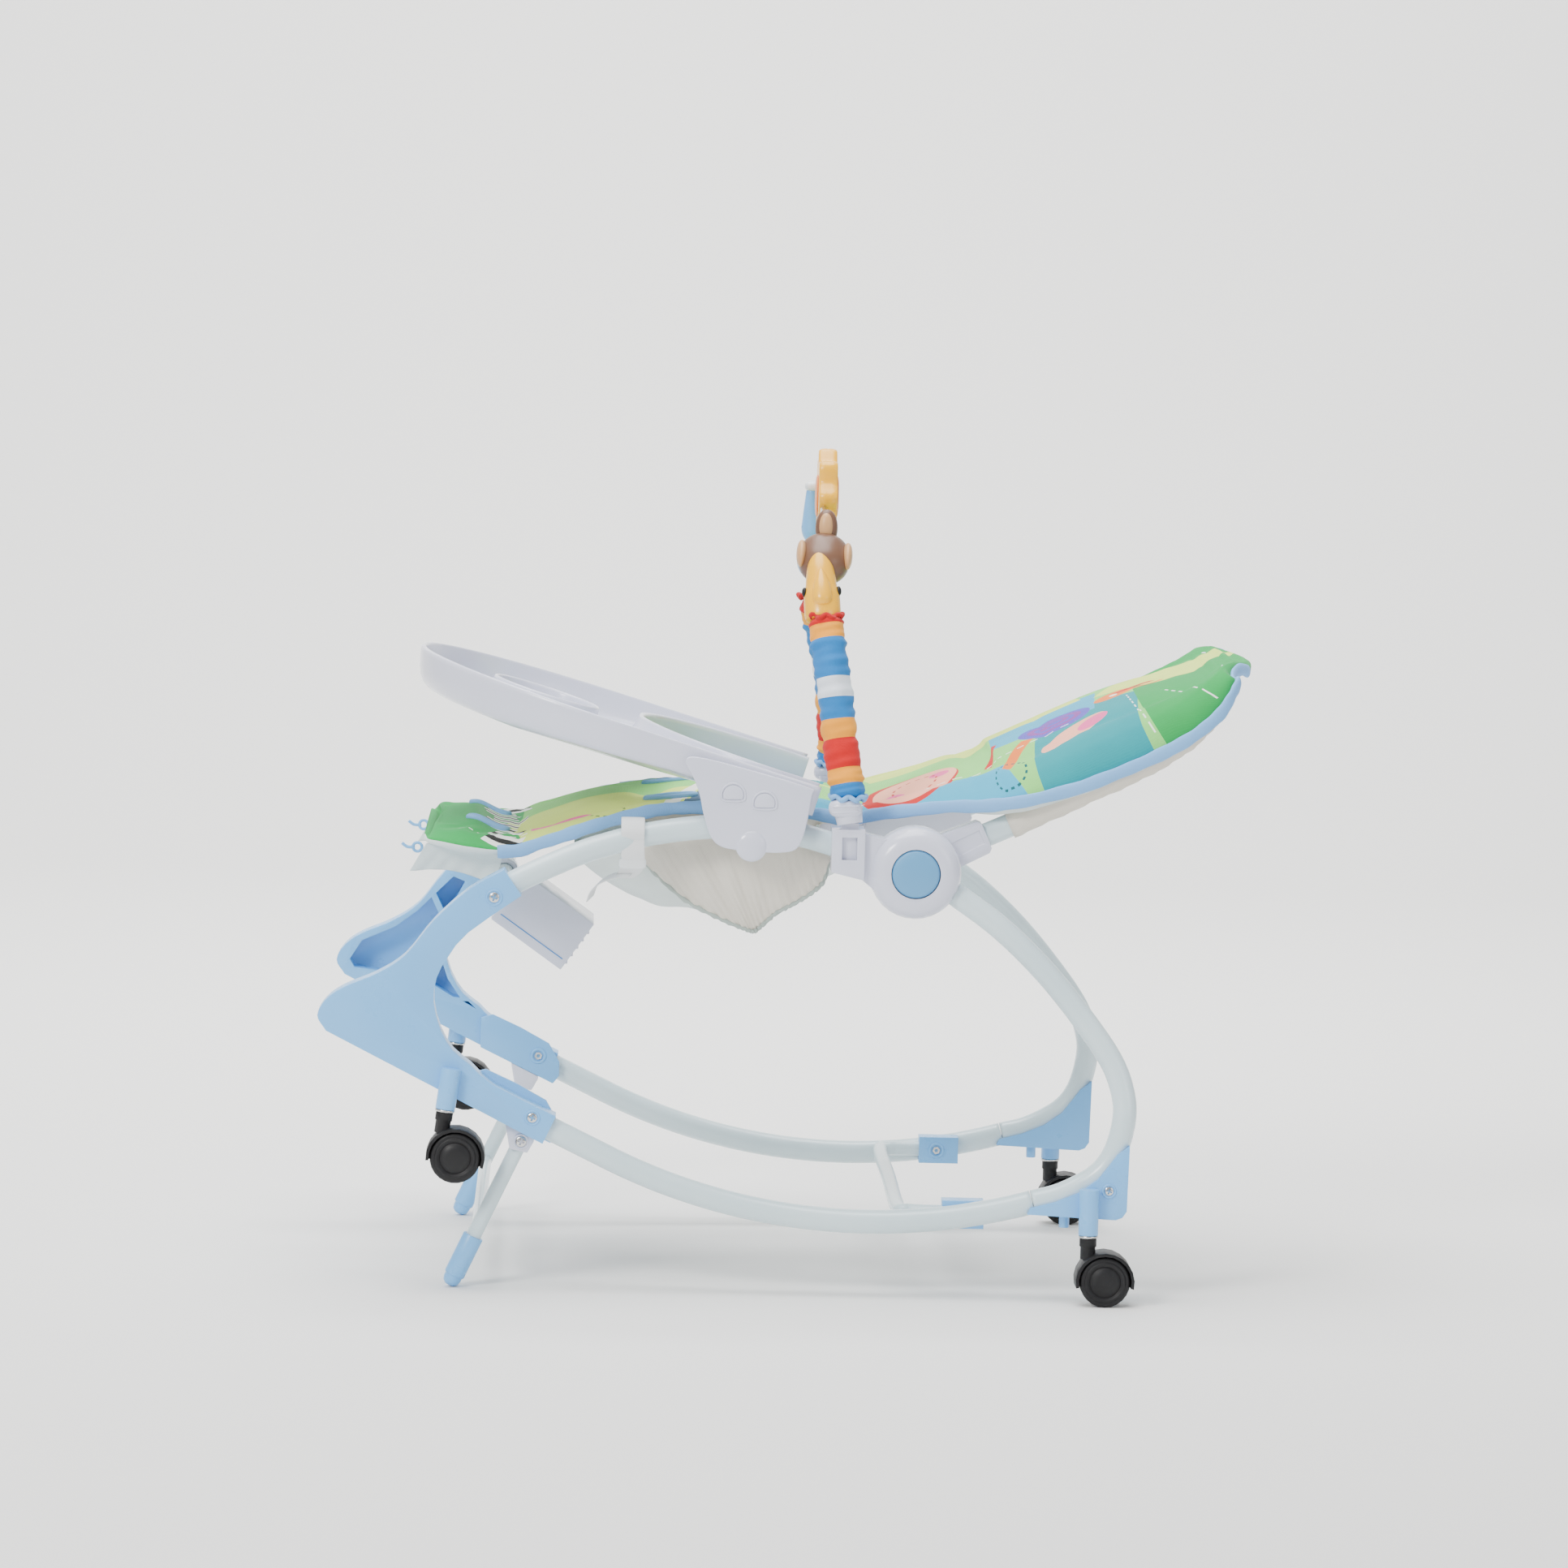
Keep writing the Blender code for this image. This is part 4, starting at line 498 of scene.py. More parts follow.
riding(sweep("rear_cross_tube_bent", cross_tube_line(), BAR_R, UP_AXIS, PAINT, 32), "frame", "tube_paint",
       "rear_cross_tube")
for node, radius in (("seat_front_cross_tube", CROSS_R), ("stand_leg_left", BAR_R),
                     ("stand_leg_right", BAR_R),
                     ("stand_cross_bar", STAND_BAR_R)):
    points = np.array([v.co for v in nodes[node].data.vertices])
    middle = points.mean(0)
    along = np.linalg.svd(points - middle)[2][0]
    reach_ = (points - middle) @ along
    line = middle + np.linspace(reach_.min(), reach_.max(), 24)[:, None] * along
    square = UP_AXIS if abs(along[2]) < 0.5 else SIDE_AXIS
    riding(sweep(f"{node}_drawn", line, radius, square, PAINT, 32), body_of_node[node], "tube_paint", node)
print("backrest tube is", round(float(np.linalg.norm(np.diff(back_line, axis=0), axis=1).sum()), 3), "m long")

# %% [markdown]
# ## The printed pattern
#
# The liner is printed cotton: big patches of green, lime, teal and blue with a few simple
# shapes on top. A picture could be wrapped on it, but shapes made from a few shader nodes
# stay sharp at any size. The liner's UV map is in metres, across and along, so a shape is
# given by its centre and radii in metres.

# %% Shapes for a print
def tint(code):
    """A linear colour from a six-digit display colour: ((c + 0.055) / 1.055) ** 2.4."""
    c = np.array([int(code[i:i + 2], 16) for i in (0, 2, 4)]) / 255
    return tuple(float(v) for v in np.where(c <= 0.04045, c / 12.92, ((c + 0.055) / 1.055) ** 2.4))


def math_node(tree, operation, one, two=0.0):
    node = tree.nodes.new("ShaderNodeMath")
    node.operation = operation
    for socket, value in zip(node.inputs, (one, two)):
        if isinstance(value, bpy.types.NodeSocket):
            tree.links.new(value, socket)
        else:
            socket.default_value = value
    return node.outputs[0]


def local(tree, uv, centre, radii, angle=0.0):
    """UV moved so that the shape's centre is at 0 and its radii are 1."""
    node = tree.nodes.new("ShaderNodeMapping")
    node.vector_type = "TEXTURE"
    node.inputs["Location"].default_value = (*centre, 0)
    node.inputs["Rotation"].default_value = (0, 0, math.radians(angle))
    node.inputs["Scale"].default_value = (*radii, 1)
    tree.links.new(uv, node.inputs["Vector"])
    return node.outputs[0]


def reach(tree, vector):
    node = tree.nodes.new("ShaderNodeVectorMath")
    node.operation = "LENGTH"
    tree.links.new(vector, node.inputs[0])
    return node.outputs["Value"]


def oval(tree, uv, centre, radii, angle=0.0):
    """1 inside an ellipse: |p| < 1 once its centre and radii are taken out."""
    return math_node(tree, "LESS_THAN", reach(tree, local(tree, uv, centre, radii, angle)), 1.0)


def patch(tree, uv, centre, radii, angle=0.0):
    """1 inside a rectangle: both |x| and |y| below 1."""
    split = tree.nodes.new("ShaderNodeSeparateXYZ")
    tree.links.new(local(tree, uv, centre, radii, angle), split.inputs[0])
    far = math_node(tree, "MAXIMUM", math_node(tree, "ABSOLUTE", split.outputs[0]),
                    math_node(tree, "ABSOLUTE", split.outputs[1]))
    return math_node(tree, "LESS_THAN", far, 1.0)


def ring(tree, uv, centre, radii, width=0.06, dashes=0, angle=0.0):
    """1 on an ellipse's outline, broken into dashes where sin(dashes * angle) > 0."""
    p = local(tree, uv, centre, radii, angle)
    on = math_node(tree, "LESS_THAN", math_node(tree, "ABSOLUTE",
                                                math_node(tree, "SUBTRACT", reach(tree, p), 1.0)),
                   width)
    if dashes:
        split = tree.nodes.new("ShaderNodeSeparateXYZ")
        tree.links.new(p, split.inputs[0])
        turn = math_node(tree, "ARCTAN2", split.outputs[1], split.outputs[0])
        gaps = math_node(tree, "SINE", math_node(tree, "MULTIPLY", turn, float(dashes)))
        on = math_node(tree, "MULTIPLY", on, math_node(tree, "GREATER_THAN", gaps, 0.0))
    return on


def stitches(tree, uv, centre, radii, angle=0.0, count=12):
    """A straight row of dashes: a thin patch cut by a sine along its length."""
    on = patch(tree, uv, centre, radii, angle)
    split = tree.nodes.new("ShaderNodeSeparateXYZ")
    tree.links.new(local(tree, uv, centre, radii, angle), split.inputs[0])
    wave = math_node(tree, "SINE", math_node(tree, "MULTIPLY", split.outputs[1], math.pi * count))
    return math_node(tree, "MULTIPLY", on, math_node(tree, "GREATER_THAN", wave, -0.1))


# %% The liner's print
def woven(tree, shader, base, weave=2200, folds=0.12):
    """Cloth on any colour: crossed threads as bump, soft sheen, faint wear in the tone."""
    wear = spread(tree, noise(tree, 26, 4), 0.0, 1.0)
    dark = tree.nodes.new("ShaderNodeHueSaturation")
    dark.inputs["Value"].default_value = 0.93
    tree.links.new(base, dark.inputs["Color"])
    tree.links.new(mix(tree, wear, dark.outputs[0], base), shader.inputs["Base Color"])
    where = tree.nodes.new("ShaderNodeTexCoord")
    threads = []
    for turn in (0, math.pi / 2):
        mapping = tree.nodes.new("ShaderNodeMapping")
        mapping.inputs["Rotation"].default_value = (0, 0.4, turn)
        wave = tree.nodes.new("ShaderNodeTexWave")
        wave.inputs["Scale"].default_value = weave / 6.0
        wave.inputs["Distortion"].default_value = 0.4
        tree.links.new(where.outputs["Object"], mapping.inputs["Vector"])
        tree.links.new(mapping.outputs[0], wave.inputs["Vector"])
        threads.append(wave.outputs["Fac"])
    weave_height = math_node(tree, "MULTIPLY", math_node(tree, "ADD", *threads), 0.15)
    soft = math_node(tree, "MULTIPLY", noise(tree, 34, 4), folds * 20)
    bump(tree, shader, math_node(tree, "ADD", weave_height, soft), 0.45, 0.0008)


def printed(name, ground, shapes):
    """A cloth whose ground is covered by shapes in order: (maker, colour, its arguments)."""
    made, tree, shader = new_material(name, ground, 0.82, Sheen_Weight=0.12, Sheen_Roughness=0.4,
                                      Specular_IOR_Level=0.3)
    where = tree.nodes.new("ShaderNodeUVMap")
    where.uv_map = "flat"
    colour = ground
    for maker, code, *facts in shapes:
        kept = facts.pop() if facts and isinstance(facts[-1], dict) else {}
        colour = mix(tree, maker(tree, where.outputs[0], *facts, **kept), colour, tint(code))
    woven(tree, shader, colour)
    return made


GREEN, LIME, LEAF, TEAL = "12A04A", "D6EA6E", "86D670", "07929A"
SKY, PEACH, PINK = "35AACE", "FDB196", "F0609E"
RED, ORANGE, VIOLET, INK, CREAM_TINT = "C8201C", "F07A28", "5A4FC0", "141414", "F4F4EE"
BACK = 0.336                  # where the back begins, along the liner
print_shapes = [
    (patch, GREEN, (0.0, 0.035), (0.2, 0.050)), (patch, LIME, (-0.09, 0.185), (0.09, 0.105), -6),
    (patch, LEAF, (0.06, 0.18), (0.06, 0.09), 8), (patch, TEAL, (0.11, 0.27), (0.05, 0.07), 14),
    (patch, LIME, (0.0, 0.30), (0.055, 0.06)), (patch, SKY, (-0.13, BACK + 0.045), (0.055, 0.115), -8),
    (patch, LEAF, (-0.045, BACK + 0.085), (0.06, 0.12), 10),
    (patch, LEAF, (-0.15, BACK + 0.185), (0.05, 0.028), -14),
    (patch, TEAL, (-0.125, BACK + 0.225), (0.085, 0.045), 12),
    (patch, SKY, (-0.01, BACK + 0.195), (0.055, 0.05), 6),
    (patch, LIME, (0.08, BACK + 0.13), (0.06, 0.10), -5), (patch, GREEN, (0.0, BACK + 0.335), (0.2, 0.052),
                                                           3),
    (patch, LIME, (0.03, BACK + 0.31), (0.05, 0.05), 22), (patch, TEAL, (0.12, BACK + 0.24), (0.05, 0.04)),
    (oval, RED, (-0.092, BACK + 0.062), (0.052, 0.036), 20),
    (oval, PEACH, (-0.088, BACK + 0.066), (0.047, 0.031), 20),
    (oval, PINK, (-0.108, BACK + 0.05), (0.010, 0.008)), (oval, PINK, (-0.072, BACK + 0.086), (0.010, 0.008)),
    (ring, RED, (-0.088, BACK + 0.066), (0.026, 0.016), dict(width=0.05, dashes=14, angle=20)),
    (oval, VIOLET, (-0.06, BACK + 0.205), (0.032, 0.030), -15),
    (ring, "8A3C9C", (-0.06, BACK + 0.205), (0.020, 0.019), dict(width=0.16)),
    (ring, "8A3C9C", (-0.06, BACK + 0.205), (0.009, 0.009), dict(width=0.3)),
    (patch, ORANGE, (-0.105, BACK + 0.165), (0.030, 0.006), 32),
    (patch, RED, (-0.07, BACK + 0.135), (0.034, 0.005), 24),
    (oval, PEACH, (-0.11, BACK + 0.215), (0.012, 0.034), -30),
    (oval, PINK, (-0.104, BACK + 0.232), (0.008, 0.017), -30),
    (oval, ORANGE, (-0.03, BACK + 0.262), (0.026, 0.016), 40),
    (patch, RED, (-0.012, BACK + 0.285), (0.004, 0.024), -34),
    (patch, ORANGE, (-0.022, BACK + 0.292), (0.003, 0.022), -20),
    (oval, CREAM_TINT, (-0.033, BACK + 0.262), (0.006, 0.004)),
    (stitches, CREAM_TINT, (-0.105, BACK + 0.272), (0.0007, 0.05), 90, dict(count=9)),
    (ring, "0A5A60", (-0.136, BACK + 0.150), (0.016, 0.018), dict(width=0.06, dashes=16)),
    (stitches, CREAM_TINT, (-0.10, BACK + 0.12), (0.0007, 0.10), -8, dict(count=16)),
    (stitches, CREAM_TINT, (-0.12, BACK + 0.318), (0.0007, 0.04), 70, dict(count=7)),
    (stitches, CREAM_TINT, (-0.12, 0.055), (0.0008, 0.035), 10, dict(count=7)),
    (oval, PINK, (-0.118, 0.118), (0.011, 0.026), -8),
    (patch, CREAM_TINT, (0.0, 0.230), (0.15, 0.006), 12), (patch, "3D5E7C", (0.0, 0.246), (0.15, 0.007), 12),
    (ring, "3B6E2E", (-0.125, 0.155), (0.012, 0.014), dict(width=0.07, dashes=14)),
]
for k in range(9):
    where_k = (-0.135 + 0.034 * k, 0.068 + 0.006 * math.sin(2.0 * k))
    print_shapes += [(patch, CREAM_TINT, where_k, (0.0125, 0.016), 28 - 7 * k),
                     (patch, INK, where_k, (0.0045, 0.016), 28 - 7 * k)]
LINER = printed("printed_liner", tint(LEAF), print_shapes)
print(len(LINER.node_tree.nodes), "nodes in the print")

# %% Plain cloths
def cloth(name, code, weave=2200, folds=0.12, **values):
    made, tree, shader = new_material(name, tint(code), 0.85, Sheen_Weight=0.15, Specular_IOR_Level=0.25,
                                      **values)
    colour = tree.nodes.new("ShaderNodeRGB")
    colour.outputs[0].default_value = (*tint(code), 1)
    woven(tree, shader, colour.outputs[0], weave, folds)
    return made


PIPING = cloth("piping_cloth", "7DB2E6")
UNDER = cloth("pale_under_cloth", "DCE7E4", folds=0.2)
BEIGE = cloth("beige_cloth", "D9D3C6", folds=0.2)
WEBBING = cloth("white_webbing", "E6E9EA", weave=5200, folds=0.02)
HEM = cloth("grey_green_hem", "A9B5AE", folds=0.1)
RED_CLOTH = cloth("red_cloth", "B91015", folds=0.16)

# %% [markdown]
# ## The liner
#
# One quilted liner covers the seat and the back and crosses the hub. It is a closed grid:
# for every station along the seat, the top is crowned by
# thick * (0.2 + 0.8 (1 - share^4)) over a nearly flat underside. Modelling it by hand would
# give a board; here a short cloth simulation lets air pressure fill it while its bound edge
# stays put, which gives the real soft swelling.

# %% Liner shape
LIFT = 0.0101                 # of the liner above a tube's centre line
PAD_HALF = 0.158


def liner_rows():
    """(x, z of the underside, half width, thickness) from the front roll to the head."""
    seat = [(-0.2925, 0.352, 0.118, 0.005), (-0.290, 0.348, 0.141, 0.014), (-0.278, 0.345, 0.150, 0.022),
            (-0.255, 0.340, 0.152, 0.029),
            (-0.226, 0.3405, 0.150, 0.019), (-0.190, 0.350, 0.150, 0.021), (-0.157, 0.362, 0.148, 0.020),
            (-0.118, 0.373, 0.130, 0.015), (-0.092, 0.376, 0.119, 0.015), (-0.062, 0.377, 0.118, 0.017),
            (-0.020, 0.377, 0.118, 0.019), (0.012, 0.374, 0.119, 0.020), (0.045, 0.3715, 0.124, 0.020)]
    back = []
    run = [(0.005, 0.042, 0.9, 0.022), (0.050, 0.026, 0.95, 0.036), (0.090, LIFT, 1.0, 0.050)]
    shape = ((1.0, 0.048), (1.0, 0.046), (1.0, 0.037), (0.95, 0.024), (0.88, 0.012), (0.80, 0.007))
    for (distance, _, rise), (share, thick), more in zip(BACK_CURVE, shape, (1.0, 1.0, 1.08, 1.2, 1.28, 1.3)):
        run.append((distance, rise + LIFT * more, share, thick))
    run += [(0.302, 0.0440, 0.66, 0.0065), (0.3115, 0.0320, 0.45, 0.008)]
    for distance, rise, share, thick in run:
        x, _, z = arm_point(distance, 0, rise)
        back.append((x, z, PAD_HALF * share, thick))
    return np.array(seat + back)


def liner_line(rows, steps=9):
    line = through(rows, steps)
    line[:, 2] = np.maximum(line[:, 2], 0.01)
    line[:, 3] = np.maximum(line[:, 3], 0.003)
    along = unit(np.gradient(line[:, :2], axis=0))
    up = np.stack([-along[:, 1], along[:, 0]], 1)
    distance = np.concatenate([[0], np.cumsum(np.linalg.norm(np.diff(line[:, :2], axis=0), axis=1))])
    return line, up, distance


def liner_grid(top=61, under=31):
    """Points and UV of the closed ring at each station: the top from left to right, then
    the underside back. Across the ring the top rises by thick (0.2 + 0.8 (1 - share^4))."""
    line, up, distance = liner_line(liner_rows())
    share = np.concatenate([np.linspace(-1, 1, top), np.linspace(0.985, -0.985, under)])
    crown = 1 - share**4
    over = np.arange(len(share)) < top
    x, z, half, thick = (line[:, i, None] for i in range(4))
    rise = np.where(over, thick * (0.2 + 0.8 * crown), 0.0)
    # Beside the back the edge hangs over the outside of the tube.
    distance_up = (x - HUB_X) * math.cos(BACK_ANGLE) + (z - HUB_Z) * math.sin(BACK_ANGLE)
    droop = np.interp(distance_up, (0.088, 0.150, 0.200, 0.268, 0.290, 0.306),
                      (0, 0.0135, 0.0155, 0.019, 0.014, 0))
    outside = np.clip((np.abs(share) - 0.93) / 0.06, 0, 1) ** 2
    rise = rise - droop * (x > HUB_X) * outside
    half = half * (1 + 0.016 * (droop > 0.001) * (x > HUB_X))
    grid = np.stack([x + up[:, :1] * rise, half * share + 0 * x, z + up[:, 1:] * rise], -1)
    uv = np.stack([half * share + 0 * x, distance[:, None] + 0 * share], -1)
    return grid, uv


liner_points, liner_uv = liner_grid()
print("liner is", round(float(liner_uv[-1, 0, 1]), 3), "m long;", liner_points.shape, "points")


# %% Pressure filling
def fill_with_air(made, pinned, pressure, most, frames=20):
    """Cloth on a closed skin: pinned points (0..1) hold, pressure swells the rest, and no
    point ends further than most from where it began."""
    start = np.empty(len(made.data.vertices) * 3)
    made.data.vertices.foreach_get("co", start)
    group = made.vertex_groups.new(name="held")
    for i, weight in enumerate(pinned):
        if weight > 0:
            group.add([i], float(weight), "REPLACE")
    air = made.modifiers.new("air", "CLOTH")
    air.settings.quality = 6
    air.settings.mass = 0.25
    air.settings.tension_stiffness = 12
    air.settings.compression_stiffness = 8
    air.settings.bending_stiffness = 0.6
    air.settings.use_pressure = True
    air.settings.uniform_pressure_force = pressure
    air.settings.vertex_group_mass = "held"
    air.settings.effector_weights.gravity = 0
    air.point_cache.frame_start, air.point_cache.frame_end = 1, frames
    scene = bpy.context.scene
    for f in range(1, frames + 1):
        scene.frame_set(f)
    swollen = made.evaluated_get(bpy.context.evaluated_depsgraph_get()).to_mesh()
    end = np.empty_like(start)
    swollen.vertices.foreach_get("co", end)
    made.modifiers.remove(air)
    made.vertex_groups.clear()
    scene.frame_set(1)
    move = (end - start).reshape(-1, 3)
    size = np.linalg.norm(move, axis=1, keepdims=True)
    move *= np.minimum(1, most / np.maximum(size, 1e-9))
    made.data.vertices.foreach_set("co", (start.reshape(-1, 3) + move).ravel())
    made.data.update()
    print(made.name, "swelled by up to", round(float(np.linalg.norm(move, axis=1).max()) * 1000, 1), "mm")


def flat_map(made, uv_of_vertex):
    layer = made.data.uv_layers.new(name="flat")
    index = np.empty(len(made.data.loops), int)
    made.data.loops.foreach_get("vertex_index", index)
    layer.data.foreach_set("uv", uv_of_vertex[index].ravel())


def grid_skin(name, grid, finish):
    """A closed skin of quads in the grid's own point order, so arrays still match it."""
    rows, columns = grid.shape[:2]
    index = np.arange(rows * columns).reshape(rows, columns)
    index = np.concatenate([index, index[:, :1]], axis=1)
    quads = np.stack([index[:-1, :-1], index[:-1, 1:], index[1:, 1:], index[1:, :-1]], axis=-1).reshape(-1, 4)
    faces = quads.tolist() + [index[0, :columns][::-1].tolist(), index[-1, :columns].tolist()]
    mesh = bpy.data.meshes.new(name)
    mesh.from_pydata(grid.reshape(-1, 3).tolist(), [], faces)
    mesh.shade_smooth()
    made = bpy.data.objects.new(name, mesh)
    bpy.context.scene.collection.objects.link(made)
    mesh.materials.append(finish)
    return made


# %% Make the liner
def tuck(points, uv):
    """Shallow hollows where the liner is tied down: at the crotch strap, the fold of the
    seat and the slots; each is depth * exp(-(distance / spread)^2) in the UV plane."""
    low = points.copy()
    for across, along, wide, long_, depth in ((0, 0.190, 0.050, 0.012, 0.006),
                                              (-0.07, 0.347, 0.060, 0.010, 0.007),
                                               (0.07, 0.347, 0.060, 0.010, 0.007),
                                               (0, 0.445, 0.16, 0.006, 0.0035),
                                               (0, 0.082, 0.2, 0.006, 0.004),
                                               (-0.05, 0.53, 0.09, 0.005, 0.002)):
        dent = depth * np.exp(-((uv[..., 0] - across) / wide) ** 2 - ((uv[..., 1] - along) / long_) ** 2)
        low[..., 2] -= dent
    return low


top_columns = 61
shaped = tuck(liner_points, liner_uv)
liner_points = np.where((np.arange(liner_points.shape[1]) < top_columns)[None, :, None], shaped, liner_points)
liner = grid_skin("quilted_liner", liner_points, LINER)
# The underside and the bound edge hold; the top is free away from the edge.
share = np.concatenate([np.linspace(-1, 1, top_columns), np.ones(liner_points.shape[1] - top_columns)])
hold = np.clip((np.abs(share) - 0.80) / 0.15, 0, 1)
hold = np.broadcast_to(hold, liner_points.shape[:2]).copy()
hold[:3] = hold[-3:] = 1
fill_with_air(liner, hold.ravel(), 3.0, 0.006)
flat_map(liner, liner_uv.reshape(-1, 2))
liner.data.materials.append(UNDER)
columns = liner_points.shape[1]
quads = (liner_points.shape[0] - 1) * columns
below = np.zeros(len(liner.data.polygons), int)
below[:quads] = np.tile(np.arange(columns) >= top_columns, liner_points.shape[0] - 1)
liner.data.polygons.foreach_set("material_index", below)
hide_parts("seat_pad", "backrest_pad")
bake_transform(liner)
print(len(liner.data.polygons), "faces on the liner")

# %% [markdown]
# ## Binding, channel and slots
#
# The liner's edge is closed by a folded tape. From behind the front roll it runs up one side,
# round the head and down the other, so it is one flat
# sweep along the liner's own edge, standing square to it. The tube carries the back through
# a beige cloth channel, which shows between the arm and the liner.

# %% Bound edge
edge_left = liner_points[:, 0] - np.array([0, 0, 0.0015])
edge_right = liner_points[:, top_columns - 1] - np.array([0, 0, 0.0015])
behind_roll = liner_points[:, 0, 0] >= -0.235
loop = np.concatenate([edge_left[behind_roll], edge_right[behind_roll][::-1]])
keep = np.concatenate([[True], np.linalg.norm(np.diff(loop, axis=0), axis=1) > 0.0012])
loop = loop[keep]
for _ in range(3):
    loop[1:-1] = 0.25 * loop[:-2] + 0.5 * loop[1:-1] + 0.25 * loop[2:]
ahead = unit(np.gradient(loop, axis=0))
outward = unit(np.cross(ahead, np.array([0, 0, 1.0])))
ripple = 1 + 0.05 * np.sin(np.arange(len(loop)) * 1.3) + 0.04 * np.sin(np.arange(len(loop)) * 0.47)
binding = surface("bound_edge", sweep_grid(loop, 0.0052 * ripple, outward, 20, 0.5), closed=True, caps=True,
                  finish=PIPING)
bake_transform(binding)

# %% Channel on the backrest tube
distance = np.concatenate([[0], np.cumsum(np.linalg.norm(np.diff(back_line, axis=0), axis=1))])
inside = (distance > 0.048) & (distance < distance[-1] - 0.048)
channel_line = back_line[inside]
step = np.arange(len(channel_line))
wrinkle = 1 + 0.035 * np.sin(step * 2.1) + 0.03 * np.sin(step * 0.83 + 1)
channel = sweep("tube_channel", channel_line, 0.0108 * wrinkle,
                (-math.sin(BACK_ANGLE), 0, math.cos(BACK_ANGLE)),
                BEIGE, 36)
riding(channel, "backrest", "cream_fabric")


# %% Bound slots for the harness
def on_liner(across, along):
    """The point on the liner's top nearest to a place in its flat map."""
    flat = liner_uv[:, :top_columns] - np.array([across, along])
    row, column = np.unravel_index(np.argmin((flat**2).sum(-1)), flat.shape[:2])
    return np.array(liner.data.vertices[row * liner_points.shape[1] + column].co)


for k, (across, along) in enumerate(((-0.070, 0.052), (0.070, 0.052), (-0.075, 0.205), (0.075, 0.205))):
    turn = np.linspace(0, 2 * np.pi, 33)
    ovals = np.array([on_liner(across + 0.006 * math.cos(t), along + 0.020 * math.sin(t)) for t in turn])
    ovals[:, 2] += 0.0008
    for _ in range(2):
        ovals = 0.25 * np.roll(ovals[:-1], 1, 0) + 0.5 * ovals[:-1] + 0.25 * np.roll(ovals[:-1], -1, 0)
        ovals = np.concatenate([ovals, ovals[:1]])
    riding(surface(f"slot_binding_{k + 1}", sweep_grid(ovals, 0.0024, np.array([0, 0, 1.0]), 14), closed=True,
                   finish=PIPING), "frame", "printed_fabric")
print("binding is", round(float(np.linalg.norm(np.diff(loop, axis=0), axis=1).sum()), 2), "m long")

# %% [markdown]
# ## The cloth underneath
#
# Thin pale cloth hangs below the seat between its tubes. It carries almost nothing, so a
# hanging curve is enough: depth = drop * sin(pi t) along it, times 1 - share^4 across.
# Small folds come from sines of both parameters, and the near panel ends in a seam that is
# gathered to a point, which is a second, shorter surface with a rolled hem.

# %% Hammock
def hanging_grid(start, end, top_of, half, drop, lean, along=90, across=61, folds=0.0012):
    t = np.linspace(0, 1, along)[:, None]
    share = np.linspace(-1, 1, across)[None, :]
    x = start + (end - start) * t + 0 * share
    fall = drop * (np.sin(np.pi * t**lean) ** 0.9) * (1 - share**4)
    fold = folds * np.sin(26 * t + 5 * share) * (1 - share**2) * np.sin(np.pi * t)
    fold = fold + folds * 0.7 * np.sin(41 * t - 9 * share + 1.0) * np.sin(np.pi * t)
    return np.stack([x, half * share * (1 + 0 * t), top_of(t) - fall + fold], -1)


hammock = surface("seat_hammock", hanging_grid(-0.172, 0.060, lambda t: 0.337 + 0.010 * np.sin(np.pi * t),
                                               0.128, 0.058, 0.86),
                  finish=UNDER)
thick = hammock.modifiers.new("cloth", "SOLIDIFY")
thick.thickness = 0.0008
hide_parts("seat_sling")
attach(hammock, "frame")

# %% Near panel with its gathered seam
def seam_line():
    """The hem's line: down to a point under the middle of the seat and up again."""
    return through(np.array([(-0.122, -0.137, 0.345), (-0.110, -0.137, 0.329), (-0.083, -0.1335, 0.3055),
                             (-0.056, -0.1315, 0.2915), (-0.036, -0.130, 0.2835), (-0.0275, -0.130, 0.2815),
                             (-0.021, -0.130, 0.2865), (-0.010, -0.131, 0.2965), (0.004, -0.132, 0.3045),
                             (0.018, -0.134, 0.314), (0.027, -0.136, 0.324), (0.031, -0.137, 0.344)]), 8)


for side, label in ((-1, "left"), (1, "right")):
    hem = seam_line()
    rough = np.arange(len(hem))
    hem[:, 1] += 0.0009 * np.sin(rough * 1.9)
    hem[:, 2] += 0.0005 * np.sin(rough * 2.7)
    top = hem.copy()
    top[:, 0] = np.linspace(-0.150, 0.040, len(hem))
    top[:, 1] = -0.1405
    top[:, 2] = np.interp(top[:, 0], (-0.157, -0.112, -0.062, -0.020, 0.012, 0.052),
                          (0.350, 0.3615, 0.3675, 0.3665, 0.3605, 0.349)) - 0.006
    down = np.linspace(0, 1, 26)[:, None, None]
    panel = top[None] + (hem - top)[None] * down
    belly = np.sin(np.pi * down[..., 0])
    panel[..., 1] += -0.004 * belly + 0.0011 * belly * np.sin(rough * 0.55 + 4 * down[..., 0])
    made = surface(f"seat_panel_{label}", on_side(panel, side), finish=BEIGE)
    made.modifiers.new("cloth", "SOLIDIFY").thickness = 0.0008
    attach(made, "frame")
    riding(sweep(f"seat_hem_{label}", on_side(hem, side), 0.0017 + 0.0003 * np.sin(rough * 1.7), SIDE_AXIS,
                 HEM, 12),
           "frame", "cream_fabric")

